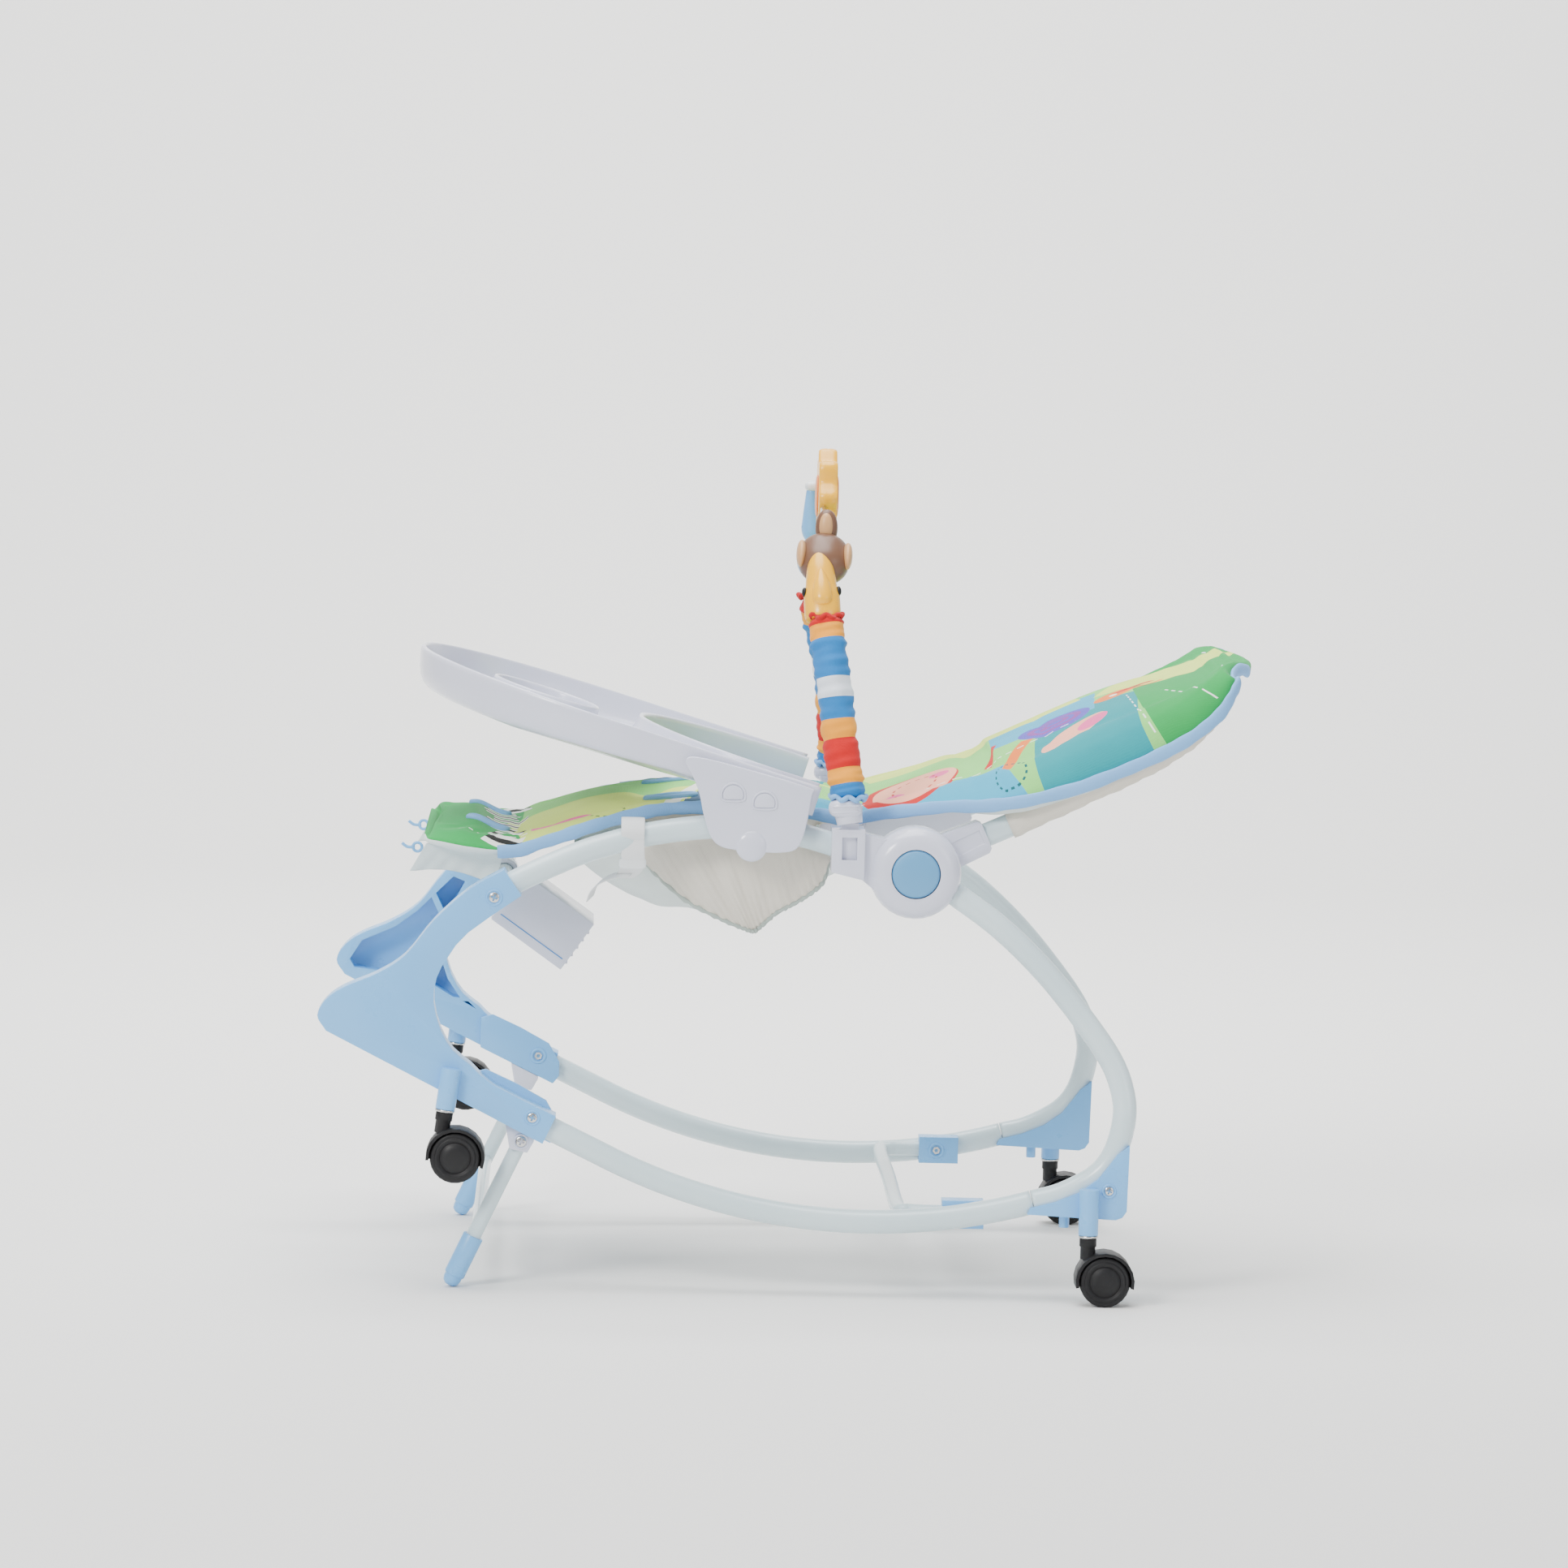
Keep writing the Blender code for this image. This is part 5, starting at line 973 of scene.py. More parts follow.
# %% Gathered flap under the front roll
def gathered_flap():
    """A smooth lining below the roll, with fine folds of 0.5 mm * sin(30 t + 3 s)."""
    t, s = np.meshgrid(np.linspace(0, 1, 110), np.linspace(0, 1, 22), indexing="ij")
    x_top, x_low = -0.290 + 0.062 * t, -0.303 + 0.068 * t
    z_top, z_low = 0.347 - 0.003 * t, 0.3235 - 0.010 * t + 0.006 * np.sin(np.pi * t)
    x, z = x_top + (x_low - x_top) * s, z_top + (z_low - z_top) * s
    pleat = 0.0005 * np.sin(30 * t + 3 * s) * (0.3 + 0.7 * s)
    return np.stack([x, -0.139 + pleat + 0.010 * s, z], -1)


for side, label in ((-1, "left"), (1, "right")):
    made = surface(f"front_flap_{label}", on_side(gathered_flap(), side), finish=UNDER)
    made.modifiers.new("cloth", "SOLIDIFY").thickness = 0.0008
    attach(made, "frame")

# %% [markdown]
# ## Tray
#
# The tray is a shallow dish on a U. For every angle round the U, a line runs from the outer
# rim to the inner one, and the dish along it is deep * (1 - |2s - 1|^18): steep walls and a
# flat floor. The underside is the same formula a wall's thickness lower, so the two grids
# close into one moulded skin with a rolled rim.

# %% Tray shell
TRAY_TIP = np.array([-0.300, 0, 0.497])
TRAY_SLOPE = math.radians(16.6)
TRAY_ALONG = np.array([math.cos(TRAY_SLOPE), 0, -math.sin(TRAY_SLOPE)])
TRAY_UP = np.array([math.sin(TRAY_SLOPE), 0, math.cos(TRAY_SLOPE)])


def tray_rims(angle):
    """Outer and inner rim, along the tray and across, at angles from -90 to 90 degrees."""
    length, belly = 0.322 / math.cos(TRAY_SLOPE), 0.182 / math.cos(TRAY_SLOPE)
    round_, half, arm = 0.176, 0.171, 0.044
    share, rest = np.minimum(1, np.abs(angle) / 60), np.maximum(0, (np.abs(angle) - 60) / 30)
    side, curve = np.sign(angle), share * np.pi / 2
    outer = np.stack([round_ * (1 - np.cos(curve)) + (length - round_) * rest,
                      side * half * np.sin(curve) ** 0.9], -1)
    inner = np.stack([belly + (length - belly - 0.022) * (1 - np.cos(curve)) + 0.022 * rest,
                      side * (half - arm) * np.sin(curve)], -1)
    return outer, inner


def tray_grid(count=181, fine=36):
    angle = np.linspace(-90, 90, count)
    outer, inner = tray_rims(angle)
    width = np.linalg.norm(inner - outer, axis=1)[:, None]
    deep = (0.022 + 0.008 * np.clip(1 - np.maximum(0, np.abs(angle) - 35) / 30, 0, 1))[:, None]
    s = 0.5 - 0.5 * np.cos(np.linspace(0, np.pi, fine))[None]
    lip = 0.0034 / width
    top_s, top_z = lip + s * (1 - 2 * lip), -(deep - 0.0026) * (1 - np.abs(2 * s - 1) ** 18)
    low_s, low_z = s[:, ::-1] + 0 * width, -deep * (1 - np.abs(2 * s[:, ::-1] - 1) ** 18) - 0.0022
    low_z[:, 0] += 0.0008
    low_z[:, -1] += 0.0008
    roll_a = np.concatenate([lip * 0.25, lip * 0.6], 1), np.concatenate([-0.0004 + 0 * deep,
                                                                         0.0002 + 0 * deep], 1)
    roll_b = 1 - roll_a[0][:, ::-1], roll_a[1][:, ::-1]
    across = np.concatenate([roll_a[0], top_s, roll_b[0], low_s], 1)
    down = np.concatenate([roll_a[1], top_z, roll_b[1], low_z], 1)
    flat = outer[:, None] + (inner - outer)[:, None] * across[..., None]
    return (TRAY_TIP + flat[..., :1] * TRAY_ALONG + flat[..., 1:] * np.array([0, 1.0, 0]) + down[...,
            None] * TRAY_UP)


shell = surface("tray_shell", tray_grid(), closed=True, caps=True, finish=WHITE)
riding(shell, "tray", "white_plastic", "tray")
cup_centre = TRAY_TIP + (0.104 / math.cos(TRAY_SLOPE)) * TRAY_ALONG
cup = turned("cup_ring", [(0.0418, -0.0285), (0.0420, -0.0075), (0.0424, -0.0058), (0.0435, -0.005),
                          (0.0446, -0.0058),
                          (0.0450, -0.0075), (0.0462, -0.0200), (0.0490, -0.0278), (0.0500, -0.0286)],
             cup_centre, TRAY_UP, WHITE, 96)
riding(cup, "tray", "white_plastic")


# %% Skirts, buttons and bumps
def soft_corners(points, rounds=3):
    """Chaikin's rule: each corner is cut at a quarter and three quarters of its sides."""
    p = np.asarray(points, float)
    for _ in range(rounds):
        nxt = np.roll(p, -1, 0)
        p = np.stack([0.75 * p + 0.25 * nxt, 0.25 * p + 0.75 * nxt], 1).reshape(-1, 2)
    return p


def slab(name, outline, y_out, y_in, finish, edge=0.0012, plane="xz"):
    """A plate with a rounded outline; its outer rim is eased by a quarter circle."""
    p = soft_corners(outline)
    centre = p.mean(0)
    inward = unit(centre - p)
    turn = np.linspace(0, np.pi / 2, 5)
    way = np.sign(y_in - y_out)
    rings = [np.concatenate([p + inward * edge * (1 - math.sin(a)),
                             np.full((len(p), 1), y_out + way * edge * (1 - math.cos(a)))], 1)
             for a in turn]
    rings.append(np.concatenate([p, np.full((len(p), 1), y_in)], 1))
    grid = np.array(rings)
    grid = np.stack([grid[..., 0], grid[..., 2], grid[..., 1]], -1)
    return surface(name, grid, closed=True, caps=True, finish=finish, smooth=True)


def superegg(name, centre, radii, finish, power=2.4, columns=48, rows=24, frame_=None):
    """|x/a|^p + |y/b|^p + |z/c|^p = 1, from powers of sines and cosines."""
    u = np.linspace(-np.pi / 2, np.pi / 2, rows)[:, None]
    v = np.linspace(0, 2 * np.pi, columns, endpoint=False)[None]

    def bent(w):
        return np.sign(w) * np.abs(w) ** (2 / power)

    points = np.stack([bent(np.cos(u)) * bent(np.cos(v)), bent(np.cos(u)) * bent(np.sin(v)),
                       bent(np.sin(u)) + 0 * v], -1)
    points = points * np.asarray(radii, float)
    if frame_ is not None:
        points = points @ np.asarray(frame_, float)
    return surface(name, points + np.asarray(centre, float), closed=True, finish=finish)


skirt_outline = [(-0.090, 0.4235), (-0.076, 0.402), (-0.070, 0.372), (-0.062, 0.354), (-0.045, 0.350),
                 (-0.006, 0.3485),
                 (0.006, 0.353), (0.0115, 0.375), (0.0145, 0.398), (0.018, 0.4005), (-0.072, 0.424)]
for side, label in ((-1, "left"), (1, "right")):
    riding(slab(f"skirt_{label}_plate", skirt_outline, side * 0.178, side * 0.174, WHITE), "tray",
           "white_plastic")
    block = [(-0.063, 0.412), (-0.063, 0.376), (0.006, 0.369), (0.007, 0.396)]
    riding(slab(f"skirt_{label}_block", block, side * 0.176, side * 0.150, WHITE), "tray", "white_plastic")
    riding(superegg(f"skirt_{label}_bump", (-0.0325, side * 0.1765, 0.3540), (0.0125, 0.0045, 0.0125),
                    WHITE, 2.0),
           "tray", "white_plastic")
    for k, (x, z) in enumerate(((-0.048, 0.394), (-0.023, 0.388))):
        a = np.linspace(0, np.pi, 15)
        arch = np.concatenate([np.stack([x + 0.0095 * np.cos(a), z + 0.0095 * np.sin(a)], 1),
                               [[x - 0.0092, z - 0.0048], [x + 0.0092, z - 0.0048]]])
        arch = soft_corners(arch, 2)
        arch = np.concatenate([arch, arch[:1]])
        line = np.stack([arch[:, 0], np.full(len(arch), side * 0.1781), arch[:, 1]], 1)
        riding(surface(f"button_rim_{label}_{k + 1}", sweep_grid(line, 0.0010, np.array([0, 1.0, 0]), 10),
                       closed=True,
                       finish=WHITE), "tray", "white_plastic")
print("tray shell has", len(shell.data.polygons), "faces")

# %% [markdown]
# ## Toy bar
#
# A thin steel rod arches over the seat. Its lower part wears a stuffed, striped sleeve: one
# tube whose radius wavers a little where the filling bunches up, with the stripes set by a
# stepped colour ramp along its length. The rounded toys are turned profiles, squeezed to an
# oval and set on the rod's own direction.

# %% Rod and sleeves
rod_side = np.array([(0.0445, -0.1735, 0.383), (0.041, -0.168, 0.406), (0.035, -0.159, 0.444),
                     (0.029, -0.150, 0.483),
                     (0.023, -0.138, 0.530), (0.020, -0.115, 0.566), (0.020, -0.085, 0.592),
                     (0.022, -0.045, 0.613)])
rod_line = through(np.concatenate([rod_side, [(0.024, 0, 0.621)], (rod_side * (1, -1, 1))[::-1]]), 12)
riding(sweep("toy_bar_wire", rod_line, ROD_R, LONG_AXIS, STEEL, 24), "toy_bar", "steel", "toy_bar_rod")


def striped():
    """Bands along the sleeve: a ramp with no blending, read from the sleeve's own length."""
    made, tree, shader = new_material("striped_cloth", tint("F59A1C"), 0.8, Sheen_Weight=0.12,
                                      Specular_IOR_Level=0.3)
    where = tree.nodes.new("ShaderNodeUVMap")
    where.uv_map = "flat"
    split = tree.nodes.new("ShaderNodeSeparateXYZ")
    ramp = tree.nodes.new("ShaderNodeValToRGB")
    ramp.color_ramp.interpolation = "CONSTANT"
    blue, white, orange, red = (tint(c) for c in ("1478BE", "E4EBF4", "F8A01A", "C90F12"))
    bands = ((0.0, blue), (0.125, orange), (0.225, red), (0.365, orange), (0.46, blue), (0.555, white),
             (0.65, blue), (0.845, orange), (0.94, red))
    while len(ramp.color_ramp.elements) < len(bands):
        ramp.color_ramp.elements.new(0.5)
    for element, (start, colour) in zip(ramp.color_ramp.elements, bands):
        element.position = start
        element.color = (*colour, 1)
    tree.links.new(where.outputs[0], split.inputs[0])
    tree.links.new(split.outputs[1], ramp.inputs[0])
    woven(tree, shader, ramp.outputs[0], folds=0.2)
    return made


STRIPED = striped()
sleeve_line = through(np.array([(0.0435, -0.1712, 0.3925), (0.0405, -0.167, 0.412), (0.0350, -0.159, 0.444),
                                (0.0305, -0.1525, 0.478), (0.0262, -0.1445, 0.510),
                                (0.0228, -0.137, 0.534)]), 26)
t = np.linspace(0, 1, len(sleeve_line))
puffs = (1 + 0.035 * np.sin(2 * np.pi * 7.5 * t) + 0.025 * np.sin(2 * np.pi * 12.3 * t + 1.1)
         + 0.02 * np.sin(2 * np.pi * 21 * t))
closing = np.minimum(1, 0.72 + 6 * np.minimum(t, 1 - t))
for side, label in ((-1, "left"), (1, "right")):
    line = on_side(sleeve_line, side)
    if side > 0:
        line = line + np.array([1.0, 0, 0]) * (0.0065 * np.sin(np.pi * t))[:, None]
    ring = sweep_grid(line, 0.0139 * puffs * closing, np.array([0, 1.0, 0]), 56)
    turn = np.linspace(0, 2 * np.pi, 56, endpoint=False)
    crease = (0.00045 * np.sin(3 * turn[None] + 9 * t[:, None]) + 0.0003 * np.sin(5 * turn[None] - 14 * t[:,
            None])
              + 0.0003 * np.sin(2 * np.pi * 15 * t[:, None] + 2 * turn[None]))
    centre = line[:, None]
    ring = centre + (ring - centre) * (1 + crease[..., None] / 0.0139)
    made = grid_skin(f"sleeve_{label}", ring, STRIPED)
    flat_map(made, np.stack([np.broadcast_to(turn / 6.283, ring.shape[:2]),
                             np.broadcast_to(t[:, None], ring.shape[:2])],
                            -1).reshape(-1, 2))
    riding(made, "toy_bar", "striped_fabric", f"toy_sleeve_{label}")
    # A frill of cloth closes each end of the sleeve: red at the upper end, blue at the lower.
    for end, (where_, wide) in enumerate((((line[-1] + line[-2]) / 2, 0.0125), (line[3], 0.0133))):
        a = np.linspace(0, 2 * np.pi, 73)
        frill = np.stack([where_[0] + (wide + 0.0012 * np.sin(9 * a)) * np.cos(a),
                          where_[1] + (wide + 0.0012 * np.sin(9 * a)) * np.sin(a),
                          where_[2] + 0.0015 * np.sin(7 * a) + (0.002 if end == 0 else -0.001)], 1)
        riding(surface(f"frill_{label}_{end + 1}", sweep_grid(frill, 0.0020, np.array([0, 0, 1.0]), 10),
                       closed=True,
                       finish=RED_CLOTH if end == 0 else PIPING), "toy_bar", "striped_fabric")


# %% Rounded toys
def frame_along(axis, front):
    """Rows are width, depth and height directions: height along axis, depth towards front."""
    axis = unit(np.asarray(axis, float))
    front = np.asarray(front, float)
    front = unit(front - axis * (front @ axis))
    return np.array([np.cross(front, axis), front, axis])


def blob(name, profile, base, axes, wide, deep, finish, columns=56):
    """A turned (radius, height) profile squeezed to an oval: base + h axis + r (wide cos t, deep sin t)."""
    profile = through(np.asarray(profile, float), 6)
    profile[:, 0] = np.maximum(profile[:, 0], 0)
    a = np.linspace(0, 2 * np.pi, columns, endpoint=False)[None, :, None]
    grid = (np.asarray(base, float) + profile[:, None, 1:2] * axes[2]
            + profile[:, None, :1] * (wide * np.cos(a) * axes[0] + deep * np.sin(a) * axes[1]))
    return surface(name, grid, closed=True, finish=finish)


duck_axes = frame_along((-0.059, 0.42, 0.90), (0, -1, 0))
duck_base = np.array([0.0208, -0.1375, 0.5315])
duck = [(0.0, 0.001), (0.0115, 0.0), (0.0142, 0.003), (0.0146, 0.012), (0.0143, 0.021), (0.0128, 0.028),
        (0.0118, 0.036),
        (0.0102, 0.046), (0.0068, 0.055), (0.0028, 0.060), (0.0, 0.0605)]
riding(blob("duck_head", duck, duck_base, duck_axes, 1.0, 0.92, YELLOW), "duck", "yellow_plastic", "toy_duck")
beak_base = duck_base + 0.0085 * duck_axes[2] + 0.0105 * duck_axes[1]
beak = [(0, 0), (0.0045, 0.0003), (0.0078, 0.004), (0.0083, 0.010), (0.0070, 0.018), (0.0042, 0.026),
        (0.0014, 0.0315),
        (0, 0.032)]
riding(blob("duck_beak", beak, beak_base, duck_axes, 0.95, 0.85, YELLOW), "duck", "yellow_plastic")
for k, way in enumerate((-1, 1)):
    eye = duck_base + 0.0235 * duck_axes[2] + way * 0.0136 * duck_axes[0] + 0.003 * duck_axes[1]
    riding(superegg(f"duck_eye_{k + 1}", eye, (0.0022, 0.0034, 0.0040), BLACK, 2, 24, 14, duck_axes),
           "duck", "black_plastic")

bear_axes = frame_along((0.0275, 0.80, 0.60), (0, -1, 0))
bear_centre = np.array([0.0215, -0.1000, 0.5785])
bear = [(0, -0.0215), (0.009, -0.020), (0.0150, -0.012), (0.0165, 0.0), (0.0150, 0.012), (0.009, 0.0195),
        (0, 0.021)]
riding(blob("bear_head", bear, bear_centre, bear_axes, 1.25, 1.1, BROWN), "bear", "brown_plastic", "toy_bear")
for k, way in enumerate((-1, 1)):
    ear = bear_centre + np.array([0.0010, 0.012 + 0.002 * way, 0.0245]) + way * 0.0008 * bear_axes[0]
    if way > 0:
        ear = ear + np.array([0.0, 0.030, -0.030])
    riding(superegg(f"bear_ear_{k + 1}", ear, (0.0090, 0.0075, 0.0150), BROWN, 2.1, 40, 24), "bear",
           "brown_plastic")
    riding(superegg(f"bear_ear_inner_{k + 1}", ear + np.array([-0.0005, -0.0040, 0.001]),
                    (0.0058, 0.0050, 0.0112), TAN, 2.1,
                    36, 20), "bear", "brown_plastic")
for k, way in enumerate((-1, 1)):
    cheek = bear_centre + way * 0.0185 * bear_axes[0] + 0.006 * bear_axes[1] - 0.002 * bear_axes[2]
    riding(superegg(f"bear_cheek_{k + 1}", cheek, (0.0040, 0.0095, 0.0125), TAN, 2.1, 36, 20, bear_axes),
           "bear", "brown_plastic")

# %% Flat flower and the small hanging toys
angle = np.linspace(0, 2 * np.pi, 145)[:-1]
lobe = 0.0352 + 0.0036 * np.cos(8 * angle)
rim = np.linspace(0, np.pi, 13)
rows = [np.full_like(angle, 0.02)] + [lobe - 0.0022 * (1 - math.sin(a)) for a in rim] + [np.full_like(angle,
                                                                                                      0.02)]
depths = [-0.0075] + [-0.0075 * math.cos(a) for a in rim] + [0.0075]
rows[7] = rows[7] - 0.0004
flower = np.array([np.stack([np.full_like(angle, 0.0262 + d), r * np.cos(angle),
                             0.6251 + r * np.sin(angle)], 1)
                   for r, d in zip(rows, depths)])
made = surface("flower_disc", flower, closed=True, caps=True, finish=YELLOW)
riding(made, "toy_bar", "yellow_plastic", "toy_flower")
for k, (x, r, d) in enumerate(((0.0182, 0.017, 0.0016), (0.0342, 0.017, 0.0016))):
    riding(superegg(f"flower_centre_{k + 1}", (x, 0, 0.6251), (d, r, r), ORANGE_PLASTIC, 2.6, 48, 20),
           "toy_bar", "yellow_plastic")
drop_axes = frame_along((0.02, 0.3, -1), (0, -1, 0))
drop = [(0, 0), (0.0045, 0.0008), (0.0062, 0.008), (0.0085, 0.025), (0.0095, 0.036), (0.006, 0.044),
        (0, 0.046)]
riding(blob("hanging_drop", drop, (0.0155, 0.050, 0.6290), drop_axes, 0.85, 1.0, BLUE), "toy_bar",
       "yellow_plastic")
riding(superegg("hanging_drop_cap", (0.0155, 0.050, 0.6310), (0.0058, 0.0066, 0.0040), CLEAR_WHITE, 2.6),
       "toy_bar", "yellow_plastic")
riding(superegg("hanging_leaf", (0.0270, 0.078, 0.5975), (0.0045, 0.010, 0.0165), CLEAR_WHITE, 2.1),
       "toy_bar", "yellow_plastic")
riding(superegg("hanging_ball", (0.0205, 0.116, 0.5660), (0.0135, 0.0120, 0.0150), BLUE, 2.0), "toy_bar",
       "yellow_plastic")

# %% Snap plugs
for side, label in ((-1, "left"), (1, "right")):
    finished_copy(f"toy_plug_{label}", WHITE)
    cap_at = np.array([0.0408, side * 0.1765, 0.3855])
    riding(superegg(f"plug_cap_{label}", cap_at, (0.0132, 0.0095, 0.0078), WHITE, 2.5), "toy_bar",
           "white_plastic")
    for k, lift in enumerate((-0.0022, 0.0024)):
        run = np.linspace(-0.0102, 0.0102, 20)
        bow = cap_at[1] + side * (0.0093 - 0.0018 * (run / 0.0102) ** 2)
        line = np.stack([cap_at[0] + run, bow, np.full(20, cap_at[2] + lift) + 0.06 * run], 1)
        riding(sweep(f"plug_rib_{label}_{k + 1}", line, 0.0008, (0, 0, 1), WHITE, 12), "toy_bar",
               "white_plastic")
print("toy bar pieces done")

# %% [markdown]
# ## Fasteners
#
# Screws and nuts repeat, so each kind is one function. A screw head is a low dome with a
# cross pressed into it: height = dome(r) - depth where |x| or |y| is under the slot's half
# width and r is under 0.62 R. Each sits in a raised ring on its moulding.

# %% Screws and rings
def screw(name, at, outward_, radius, finish, body, ring_r=None, ring_finish=None, slot_name="steel"):
    axes = frame_along(outward_, (0.31, 0.05, 0.95))
    r = np.concatenate([np.linspace(0.02, 1, 26), [1.0, 0.96]])[:, None] * radius
    a = np.linspace(0, 2 * np.pi, 72, endpoint=False)[None]
    x, y = r * np.cos(a), r * np.sin(a)
    height = 0.30 * radius * np.sqrt(np.clip(1.02 - (r / radius) ** 2, 0, 1)) + 0 * a
    cross = ((np.abs(x) < 0.15 * radius) | (np.abs(y) < 0.15 * radius)) & (r < 0.62 * radius)
    height = height - 0.38 * radius * cross
    height[-2:] = [[0.0], [-0.5 * radius]]
    grid = np.asarray(at, float) + x[..., None] * axes[0] + y[..., None] * axes[1] + height[...,
                                                                                            None] * axes[2]
    made = surface(name, grid, closed=True, caps=True, finish=finish, smooth=False)
    riding(made, body, slot_name)
    if ring_r:
        profile = [(ring_r - 0.0016, -0.002), (ring_r - 0.0016, 0.0004), (ring_r - 0.0010, 0.0009),
                   (ring_r - 0.0003, 0.0009),
                   (ring_r, 0.0004), (ring_r, -0.002)]
        riding(turned(f"{name}_ring", profile, at, outward_, ring_finish, 48), body, "blue_plastic")
    return made


for side, label in ((-1, "left"), (1, "right")):
    face = side * 0.2135
    screw(f"bracket_screw_upper_{label}", (-0.2343, face, 0.3121), (0, side, 0), 0.0042, STEEL, "frame",
          0.0066, BLUE)
    screw(f"bracket_screw_lower_{label}", (-0.2005, face, 0.1386), (0, side, 0), 0.0040, STEEL, "frame",
          0.0062, BLUE)
    screw(f"stand_screw_{label}", (-0.209, side * 0.2021, 0.118), (0, side, 0), 0.0044, STEEL, "frame",
          0.0064, WHITE)
    foot_points = np.array([v.co for v in nodes[f"stand_leg_{label}"].data.vertices])
    leg_top, leg_end = foot_points[foot_points[:, 2].argmax()], foot_points[foot_points[:, 2].argmin()]
    on_leg = leg_top + (leg_end - leg_top) * 0.80
    screw(f"foot_screw_{label}", (on_leg[0], side * (LEG_HALF - BAR_R), on_leg[2]), (0, -side, 0), 0.0030,
          COPPER,
          "stand")
    screw(f"saddle_screw_{label}", (0.1413, side * 0.1956, 0.0663), (0, side, 0), 0.0042, STEEL, "frame",
          0.0064, BLUE)
    screw(f"gusset_screw_{label}", (0.2560, side * 0.2121, 0.0900), (0, side, 0), 0.0036, STEEL, "frame",
          0.0058, BLUE)
    for name, x, z, y in (("cap_nut", -0.1988, 0.1386, 0.1822), ("saddle_nut", 0.1400, 0.0663, 0.1754)):
        a = np.linspace(0, 2 * np.pi, 7)[:-1] + 0.2
        nut = [np.stack([x + r * np.cos(a), np.full(6, side * (y + d)), z + r * np.sin(a)], 1)
               for r, d in ((0.0036, 0.002), (0.0036, -0.0010), (0.0032, -0.0014), (0.0016, -0.0014),
                            (0.0015, 0.0008))]
        riding(surface(f"{name}_{label}", np.array(nut), closed=True, caps=True, finish=STEEL,
                       smooth=False), "frame", "steel")
        riding(turned(f"{name}_seat_{label}", [(0.0068, 0.001), (0.0068, -0.0008), (0.0060, -0.0014),
                                               (0.0048, -0.0014),
                                               (0.0044, -0.0008), (0.0044, 0.001)], (x, side * y, z),
                                               (0, side, 0), BLUE, 40),
               "frame", "blue_plastic")

# %% Caster stems, collars and hub caps
for end in ends:
    for side, label in ((-1, "left"), (1, "right")):
        lean = np.array([math.sin(math.radians(7.4)), 0,
                         math.cos(math.radians(7.4))]) if end == "front" else np.array([0, 0, 1.0])
        foot = np.array([-0.269, side * 0.2185, 0.145]) if end == "front" else np.array([0.240,
                side * 0.2185, 0.056])
        body = f"caster_{end}_{label}"
        riding(turned(f"stem_ring_{end}_{label}", [(0.0042, -0.0012), (0.0072, -0.0012), (0.0078, -0.0008),
                                                   (0.0078, 0.0006),
                                                   (0.0072, 0.0010), (0.0042, 0.0010)],
                                                   foot - 0.0012 * lean, lean, STEEL, 40),
               "frame", "steel")
        forward_ = np.array([lean[2], 0, -lean[0]])
        axle = foot - 0.036 * lean + 0.0135 * forward_
        for way in (-1, 1):
            profile = [(0, 0.0012), (0.006, 0.0011), (0.0115, 0.0004), (0.0120, -0.0006), (0.0132, -0.0006),
                       (0.0136, 0.0006),
                       (0.0150, 0.0009), (0.0164, 0.0004), (0.0166, -0.0015)]
            riding(turned(f"wheel_face_{end}_{label}_{'outer' if way == side else 'inner'}", profile,
                          axle + np.array([0, way * 0.0127, 0]), (0, way, 0), BLACK, 48),
                          f"wheel_{end}_{label}", "black_plastic")
print("fasteners done")

# %% [markdown]
# ## Straps and small fittings
#
# Webbing is a flat strip with a slight thickness: a rectangle's corners rounded off and
# carried along a path. The same helper makes the tie round the seat tube, the part that
# hangs from it and its loose end.

# %% Webbing
def strip(name, path, width, thick, wide_axis, finish, columns=20):
    """A flat strap along a path: superellipse section, wide along wide_axis."""
    path = through(np.asarray(path, float), 10)
    wide_axis = unit(np.asarray(wide_axis, float))
    ahead_ = unit(np.gradient(path, axis=0))
    over_ = unit(np.cross(ahead_, wide_axis))
    a = np.linspace(0, 2 * np.pi, columns, endpoint=False)
    c = np.sign(np.cos(a)) * np.abs(np.cos(a)) ** 0.35 * width / 2
    d = np.sign(np.sin(a)) * np.abs(np.sin(a)) ** 0.6 * thick / 2
    grid = path[:, None] + c[None, :, None] * wide_axis + d[None, :, None] * over_[:, None]
    return surface(name, grid, closed=True, caps=True, finish=finish)


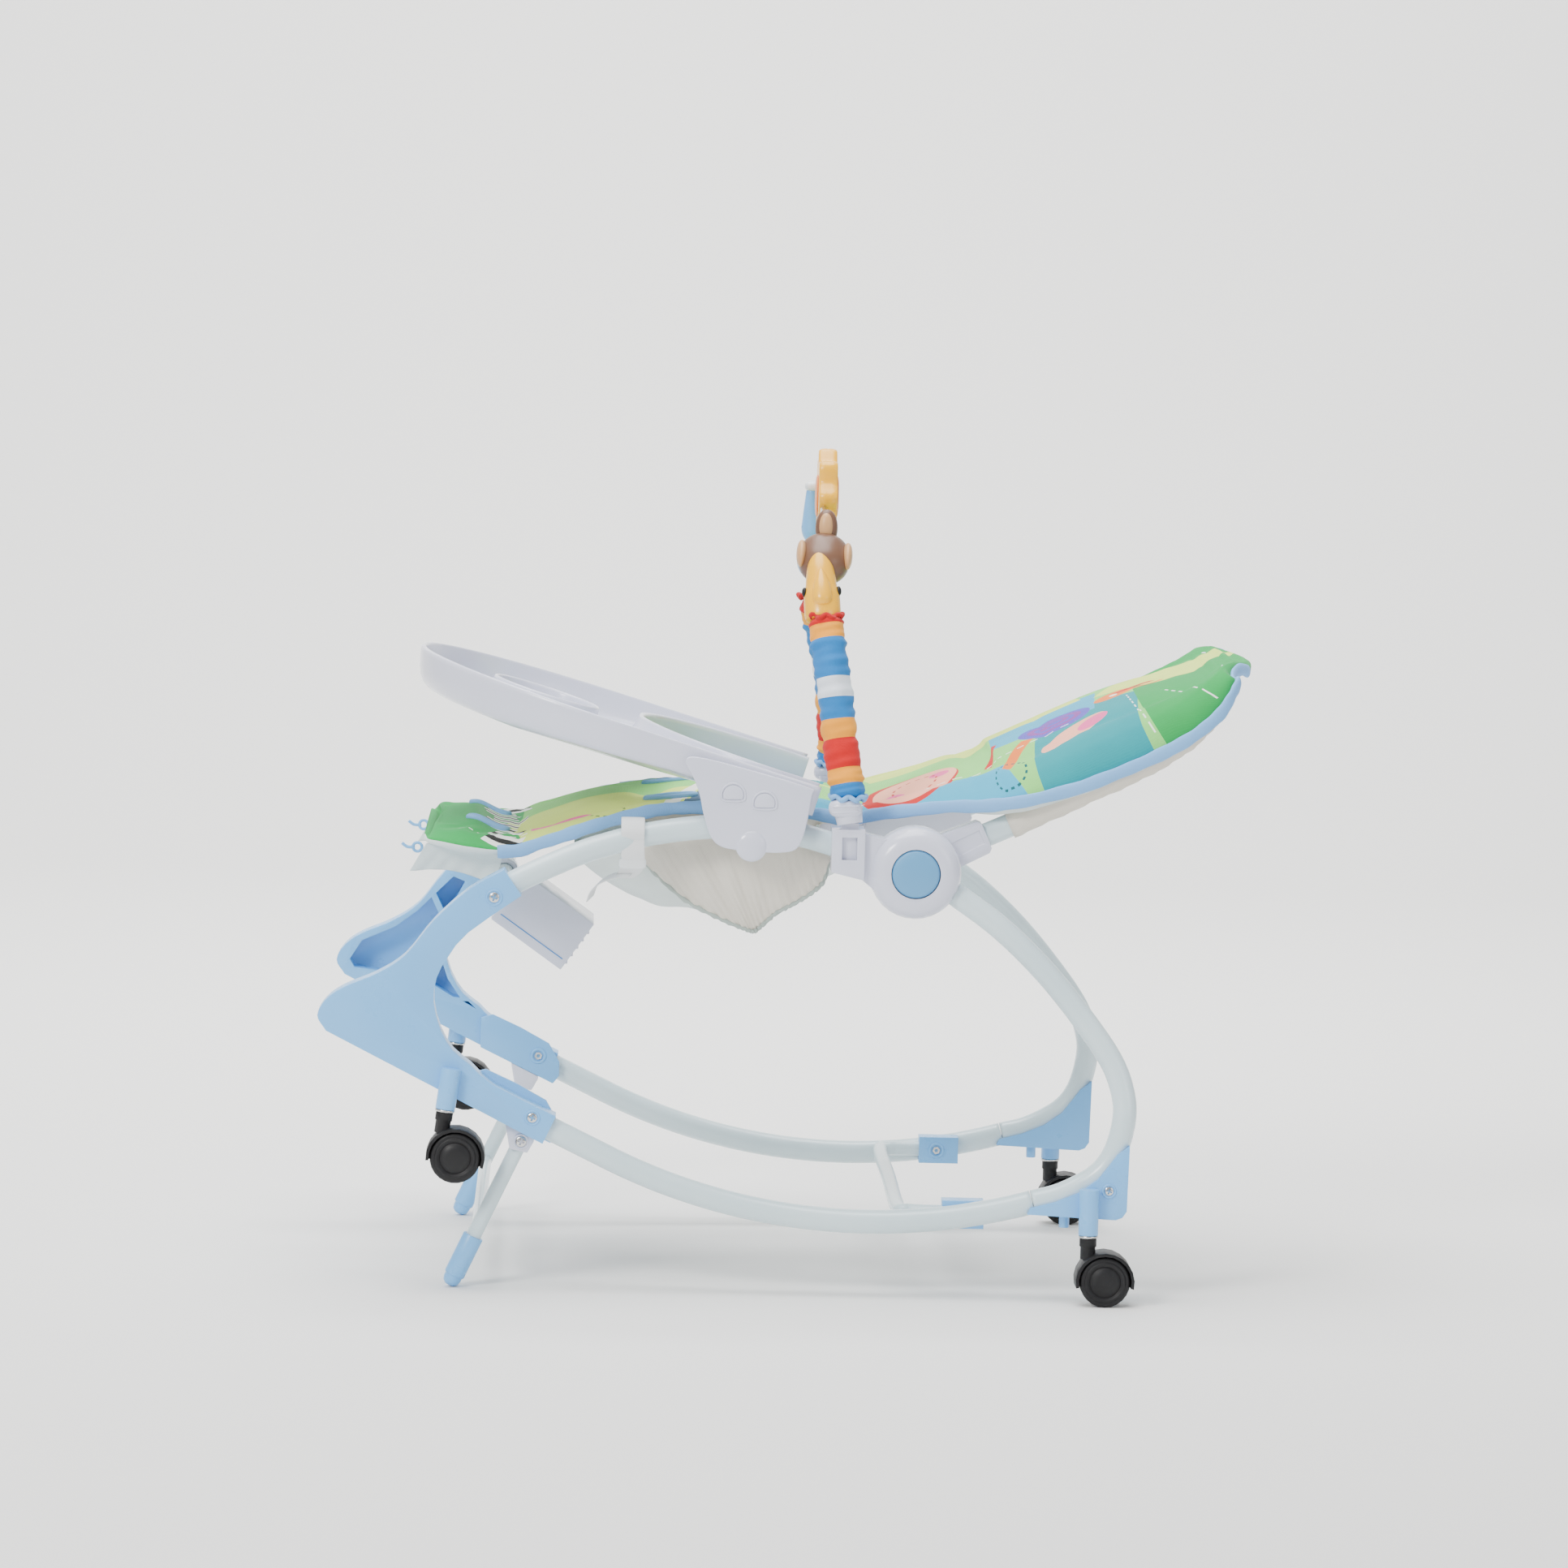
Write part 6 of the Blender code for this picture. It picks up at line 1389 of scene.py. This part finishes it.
for side, label in ((-1, "left"), (1, "right")):
    loop_ = np.array([(-0.1265, -0.166, 0.3505), (-0.1265, -0.1835, 0.3560), (-0.1265, -0.1870, 0.3640),
                      (-0.1265, -0.181, 0.3720),
                      (-0.1265, -0.168, 0.3735)])
    riding(strip(f"tie_loop_{label}", on_side(loop_, side), 0.0185, 0.0013, LONG_AXIS, WEBBING), "frame",
           "cream_fabric")
    fall = np.array([(-0.1265, -0.1855, 0.3580), (-0.1262, -0.1845, 0.3480), (-0.1258, -0.1790, 0.3390),
                     (-0.1280, -0.1700, 0.3310),
                     (-0.1340, -0.1600, 0.3250)])
    riding(strip(f"tie_fall_{label}", on_side(fall, side), 0.0185, 0.0012, LONG_AXIS, WEBBING), "frame",
           "cream_fabric")
    tail = np.array([(-0.1250, -0.166, 0.3300), (-0.1380, -0.1675, 0.3275), (-0.1480, -0.1690, 0.3240),
                     (-0.1560, -0.170, 0.3170),
                     (-0.1590, -0.1705, 0.3090)])
    riding(strip(f"tie_tail_{label}", on_side(tail, side), 0.0120, 0.0012, (0.5, 0.75, 0.45), WEBBING),
           "frame", "cream_fabric")
    riding(superegg(f"tie_slide_{label}", (-0.1262, side * 0.1790, 0.3385), (0.0108, 0.0024, 0.0048),
                    CLEAR_WHITE, 4.0), "frame",
           "white_plastic")
    ring_turn = np.linspace(0, 2 * np.pi, 41)
    hoop = np.stack([-0.2980 + 0.0036 * np.cos(ring_turn), side * (0.100 + 0.0010 * np.sin(ring_turn)),
                     0.3400 + 0.0036 * np.sin(ring_turn)], 1)
    riding(surface(f"lace_ring_{label}", sweep_grid(hoop, 0.0012, np.array([0, 1.0, 0]), 12), closed=True,
                   finish=BLUE), "frame",
           "blue_plastic")
    peg = np.array([(-0.3105, side * 0.100, 0.3430), (-0.3060, side * 0.100, 0.3400),
                    (-0.3000, side * 0.100, 0.3400)])
    riding(sweep(f"lace_peg_{label}", through(peg, 6), 0.0013, SIDE_AXIS, BLUE, 14), "frame", "blue_plastic")

# %% Vibration unit's ribs
slope = math.radians(35)
box_x, box_z = np.array([math.cos(slope), 0, -math.sin(slope)]), np.array([math.sin(slope), 0,
                                                                           math.cos(slope)])
cross_at = np.array([-0.229, 0, 0.312])
for k in range(5):
    start_ = cross_at + (0.012 + 0.070 + 0.0004) * box_x + (-0.027 + 0.0075 * k) * box_z
    line = start_ + np.linspace(-0.036, 0.036, 30)[:, None] * np.array([0, 1.0, 0])
    riding(sweep(f"case_rib_{k + 1}", line, 0.0012, LONG_AXIS, WHITE, 12), "frame", "white_plastic")
for side, label in ((-1, "left"), (1, "right")):
    seam = cross_at + np.linspace(0.016, 0.078, 30)[:, None] * box_x - 0.0260 * box_z + np.array([0,
            side * 0.0421, 0])
    riding(sweep(f"case_seam_{label}", seam, 0.0005, SIDE_AXIS, DEEP_BLUE, 8), "frame", "white_plastic")
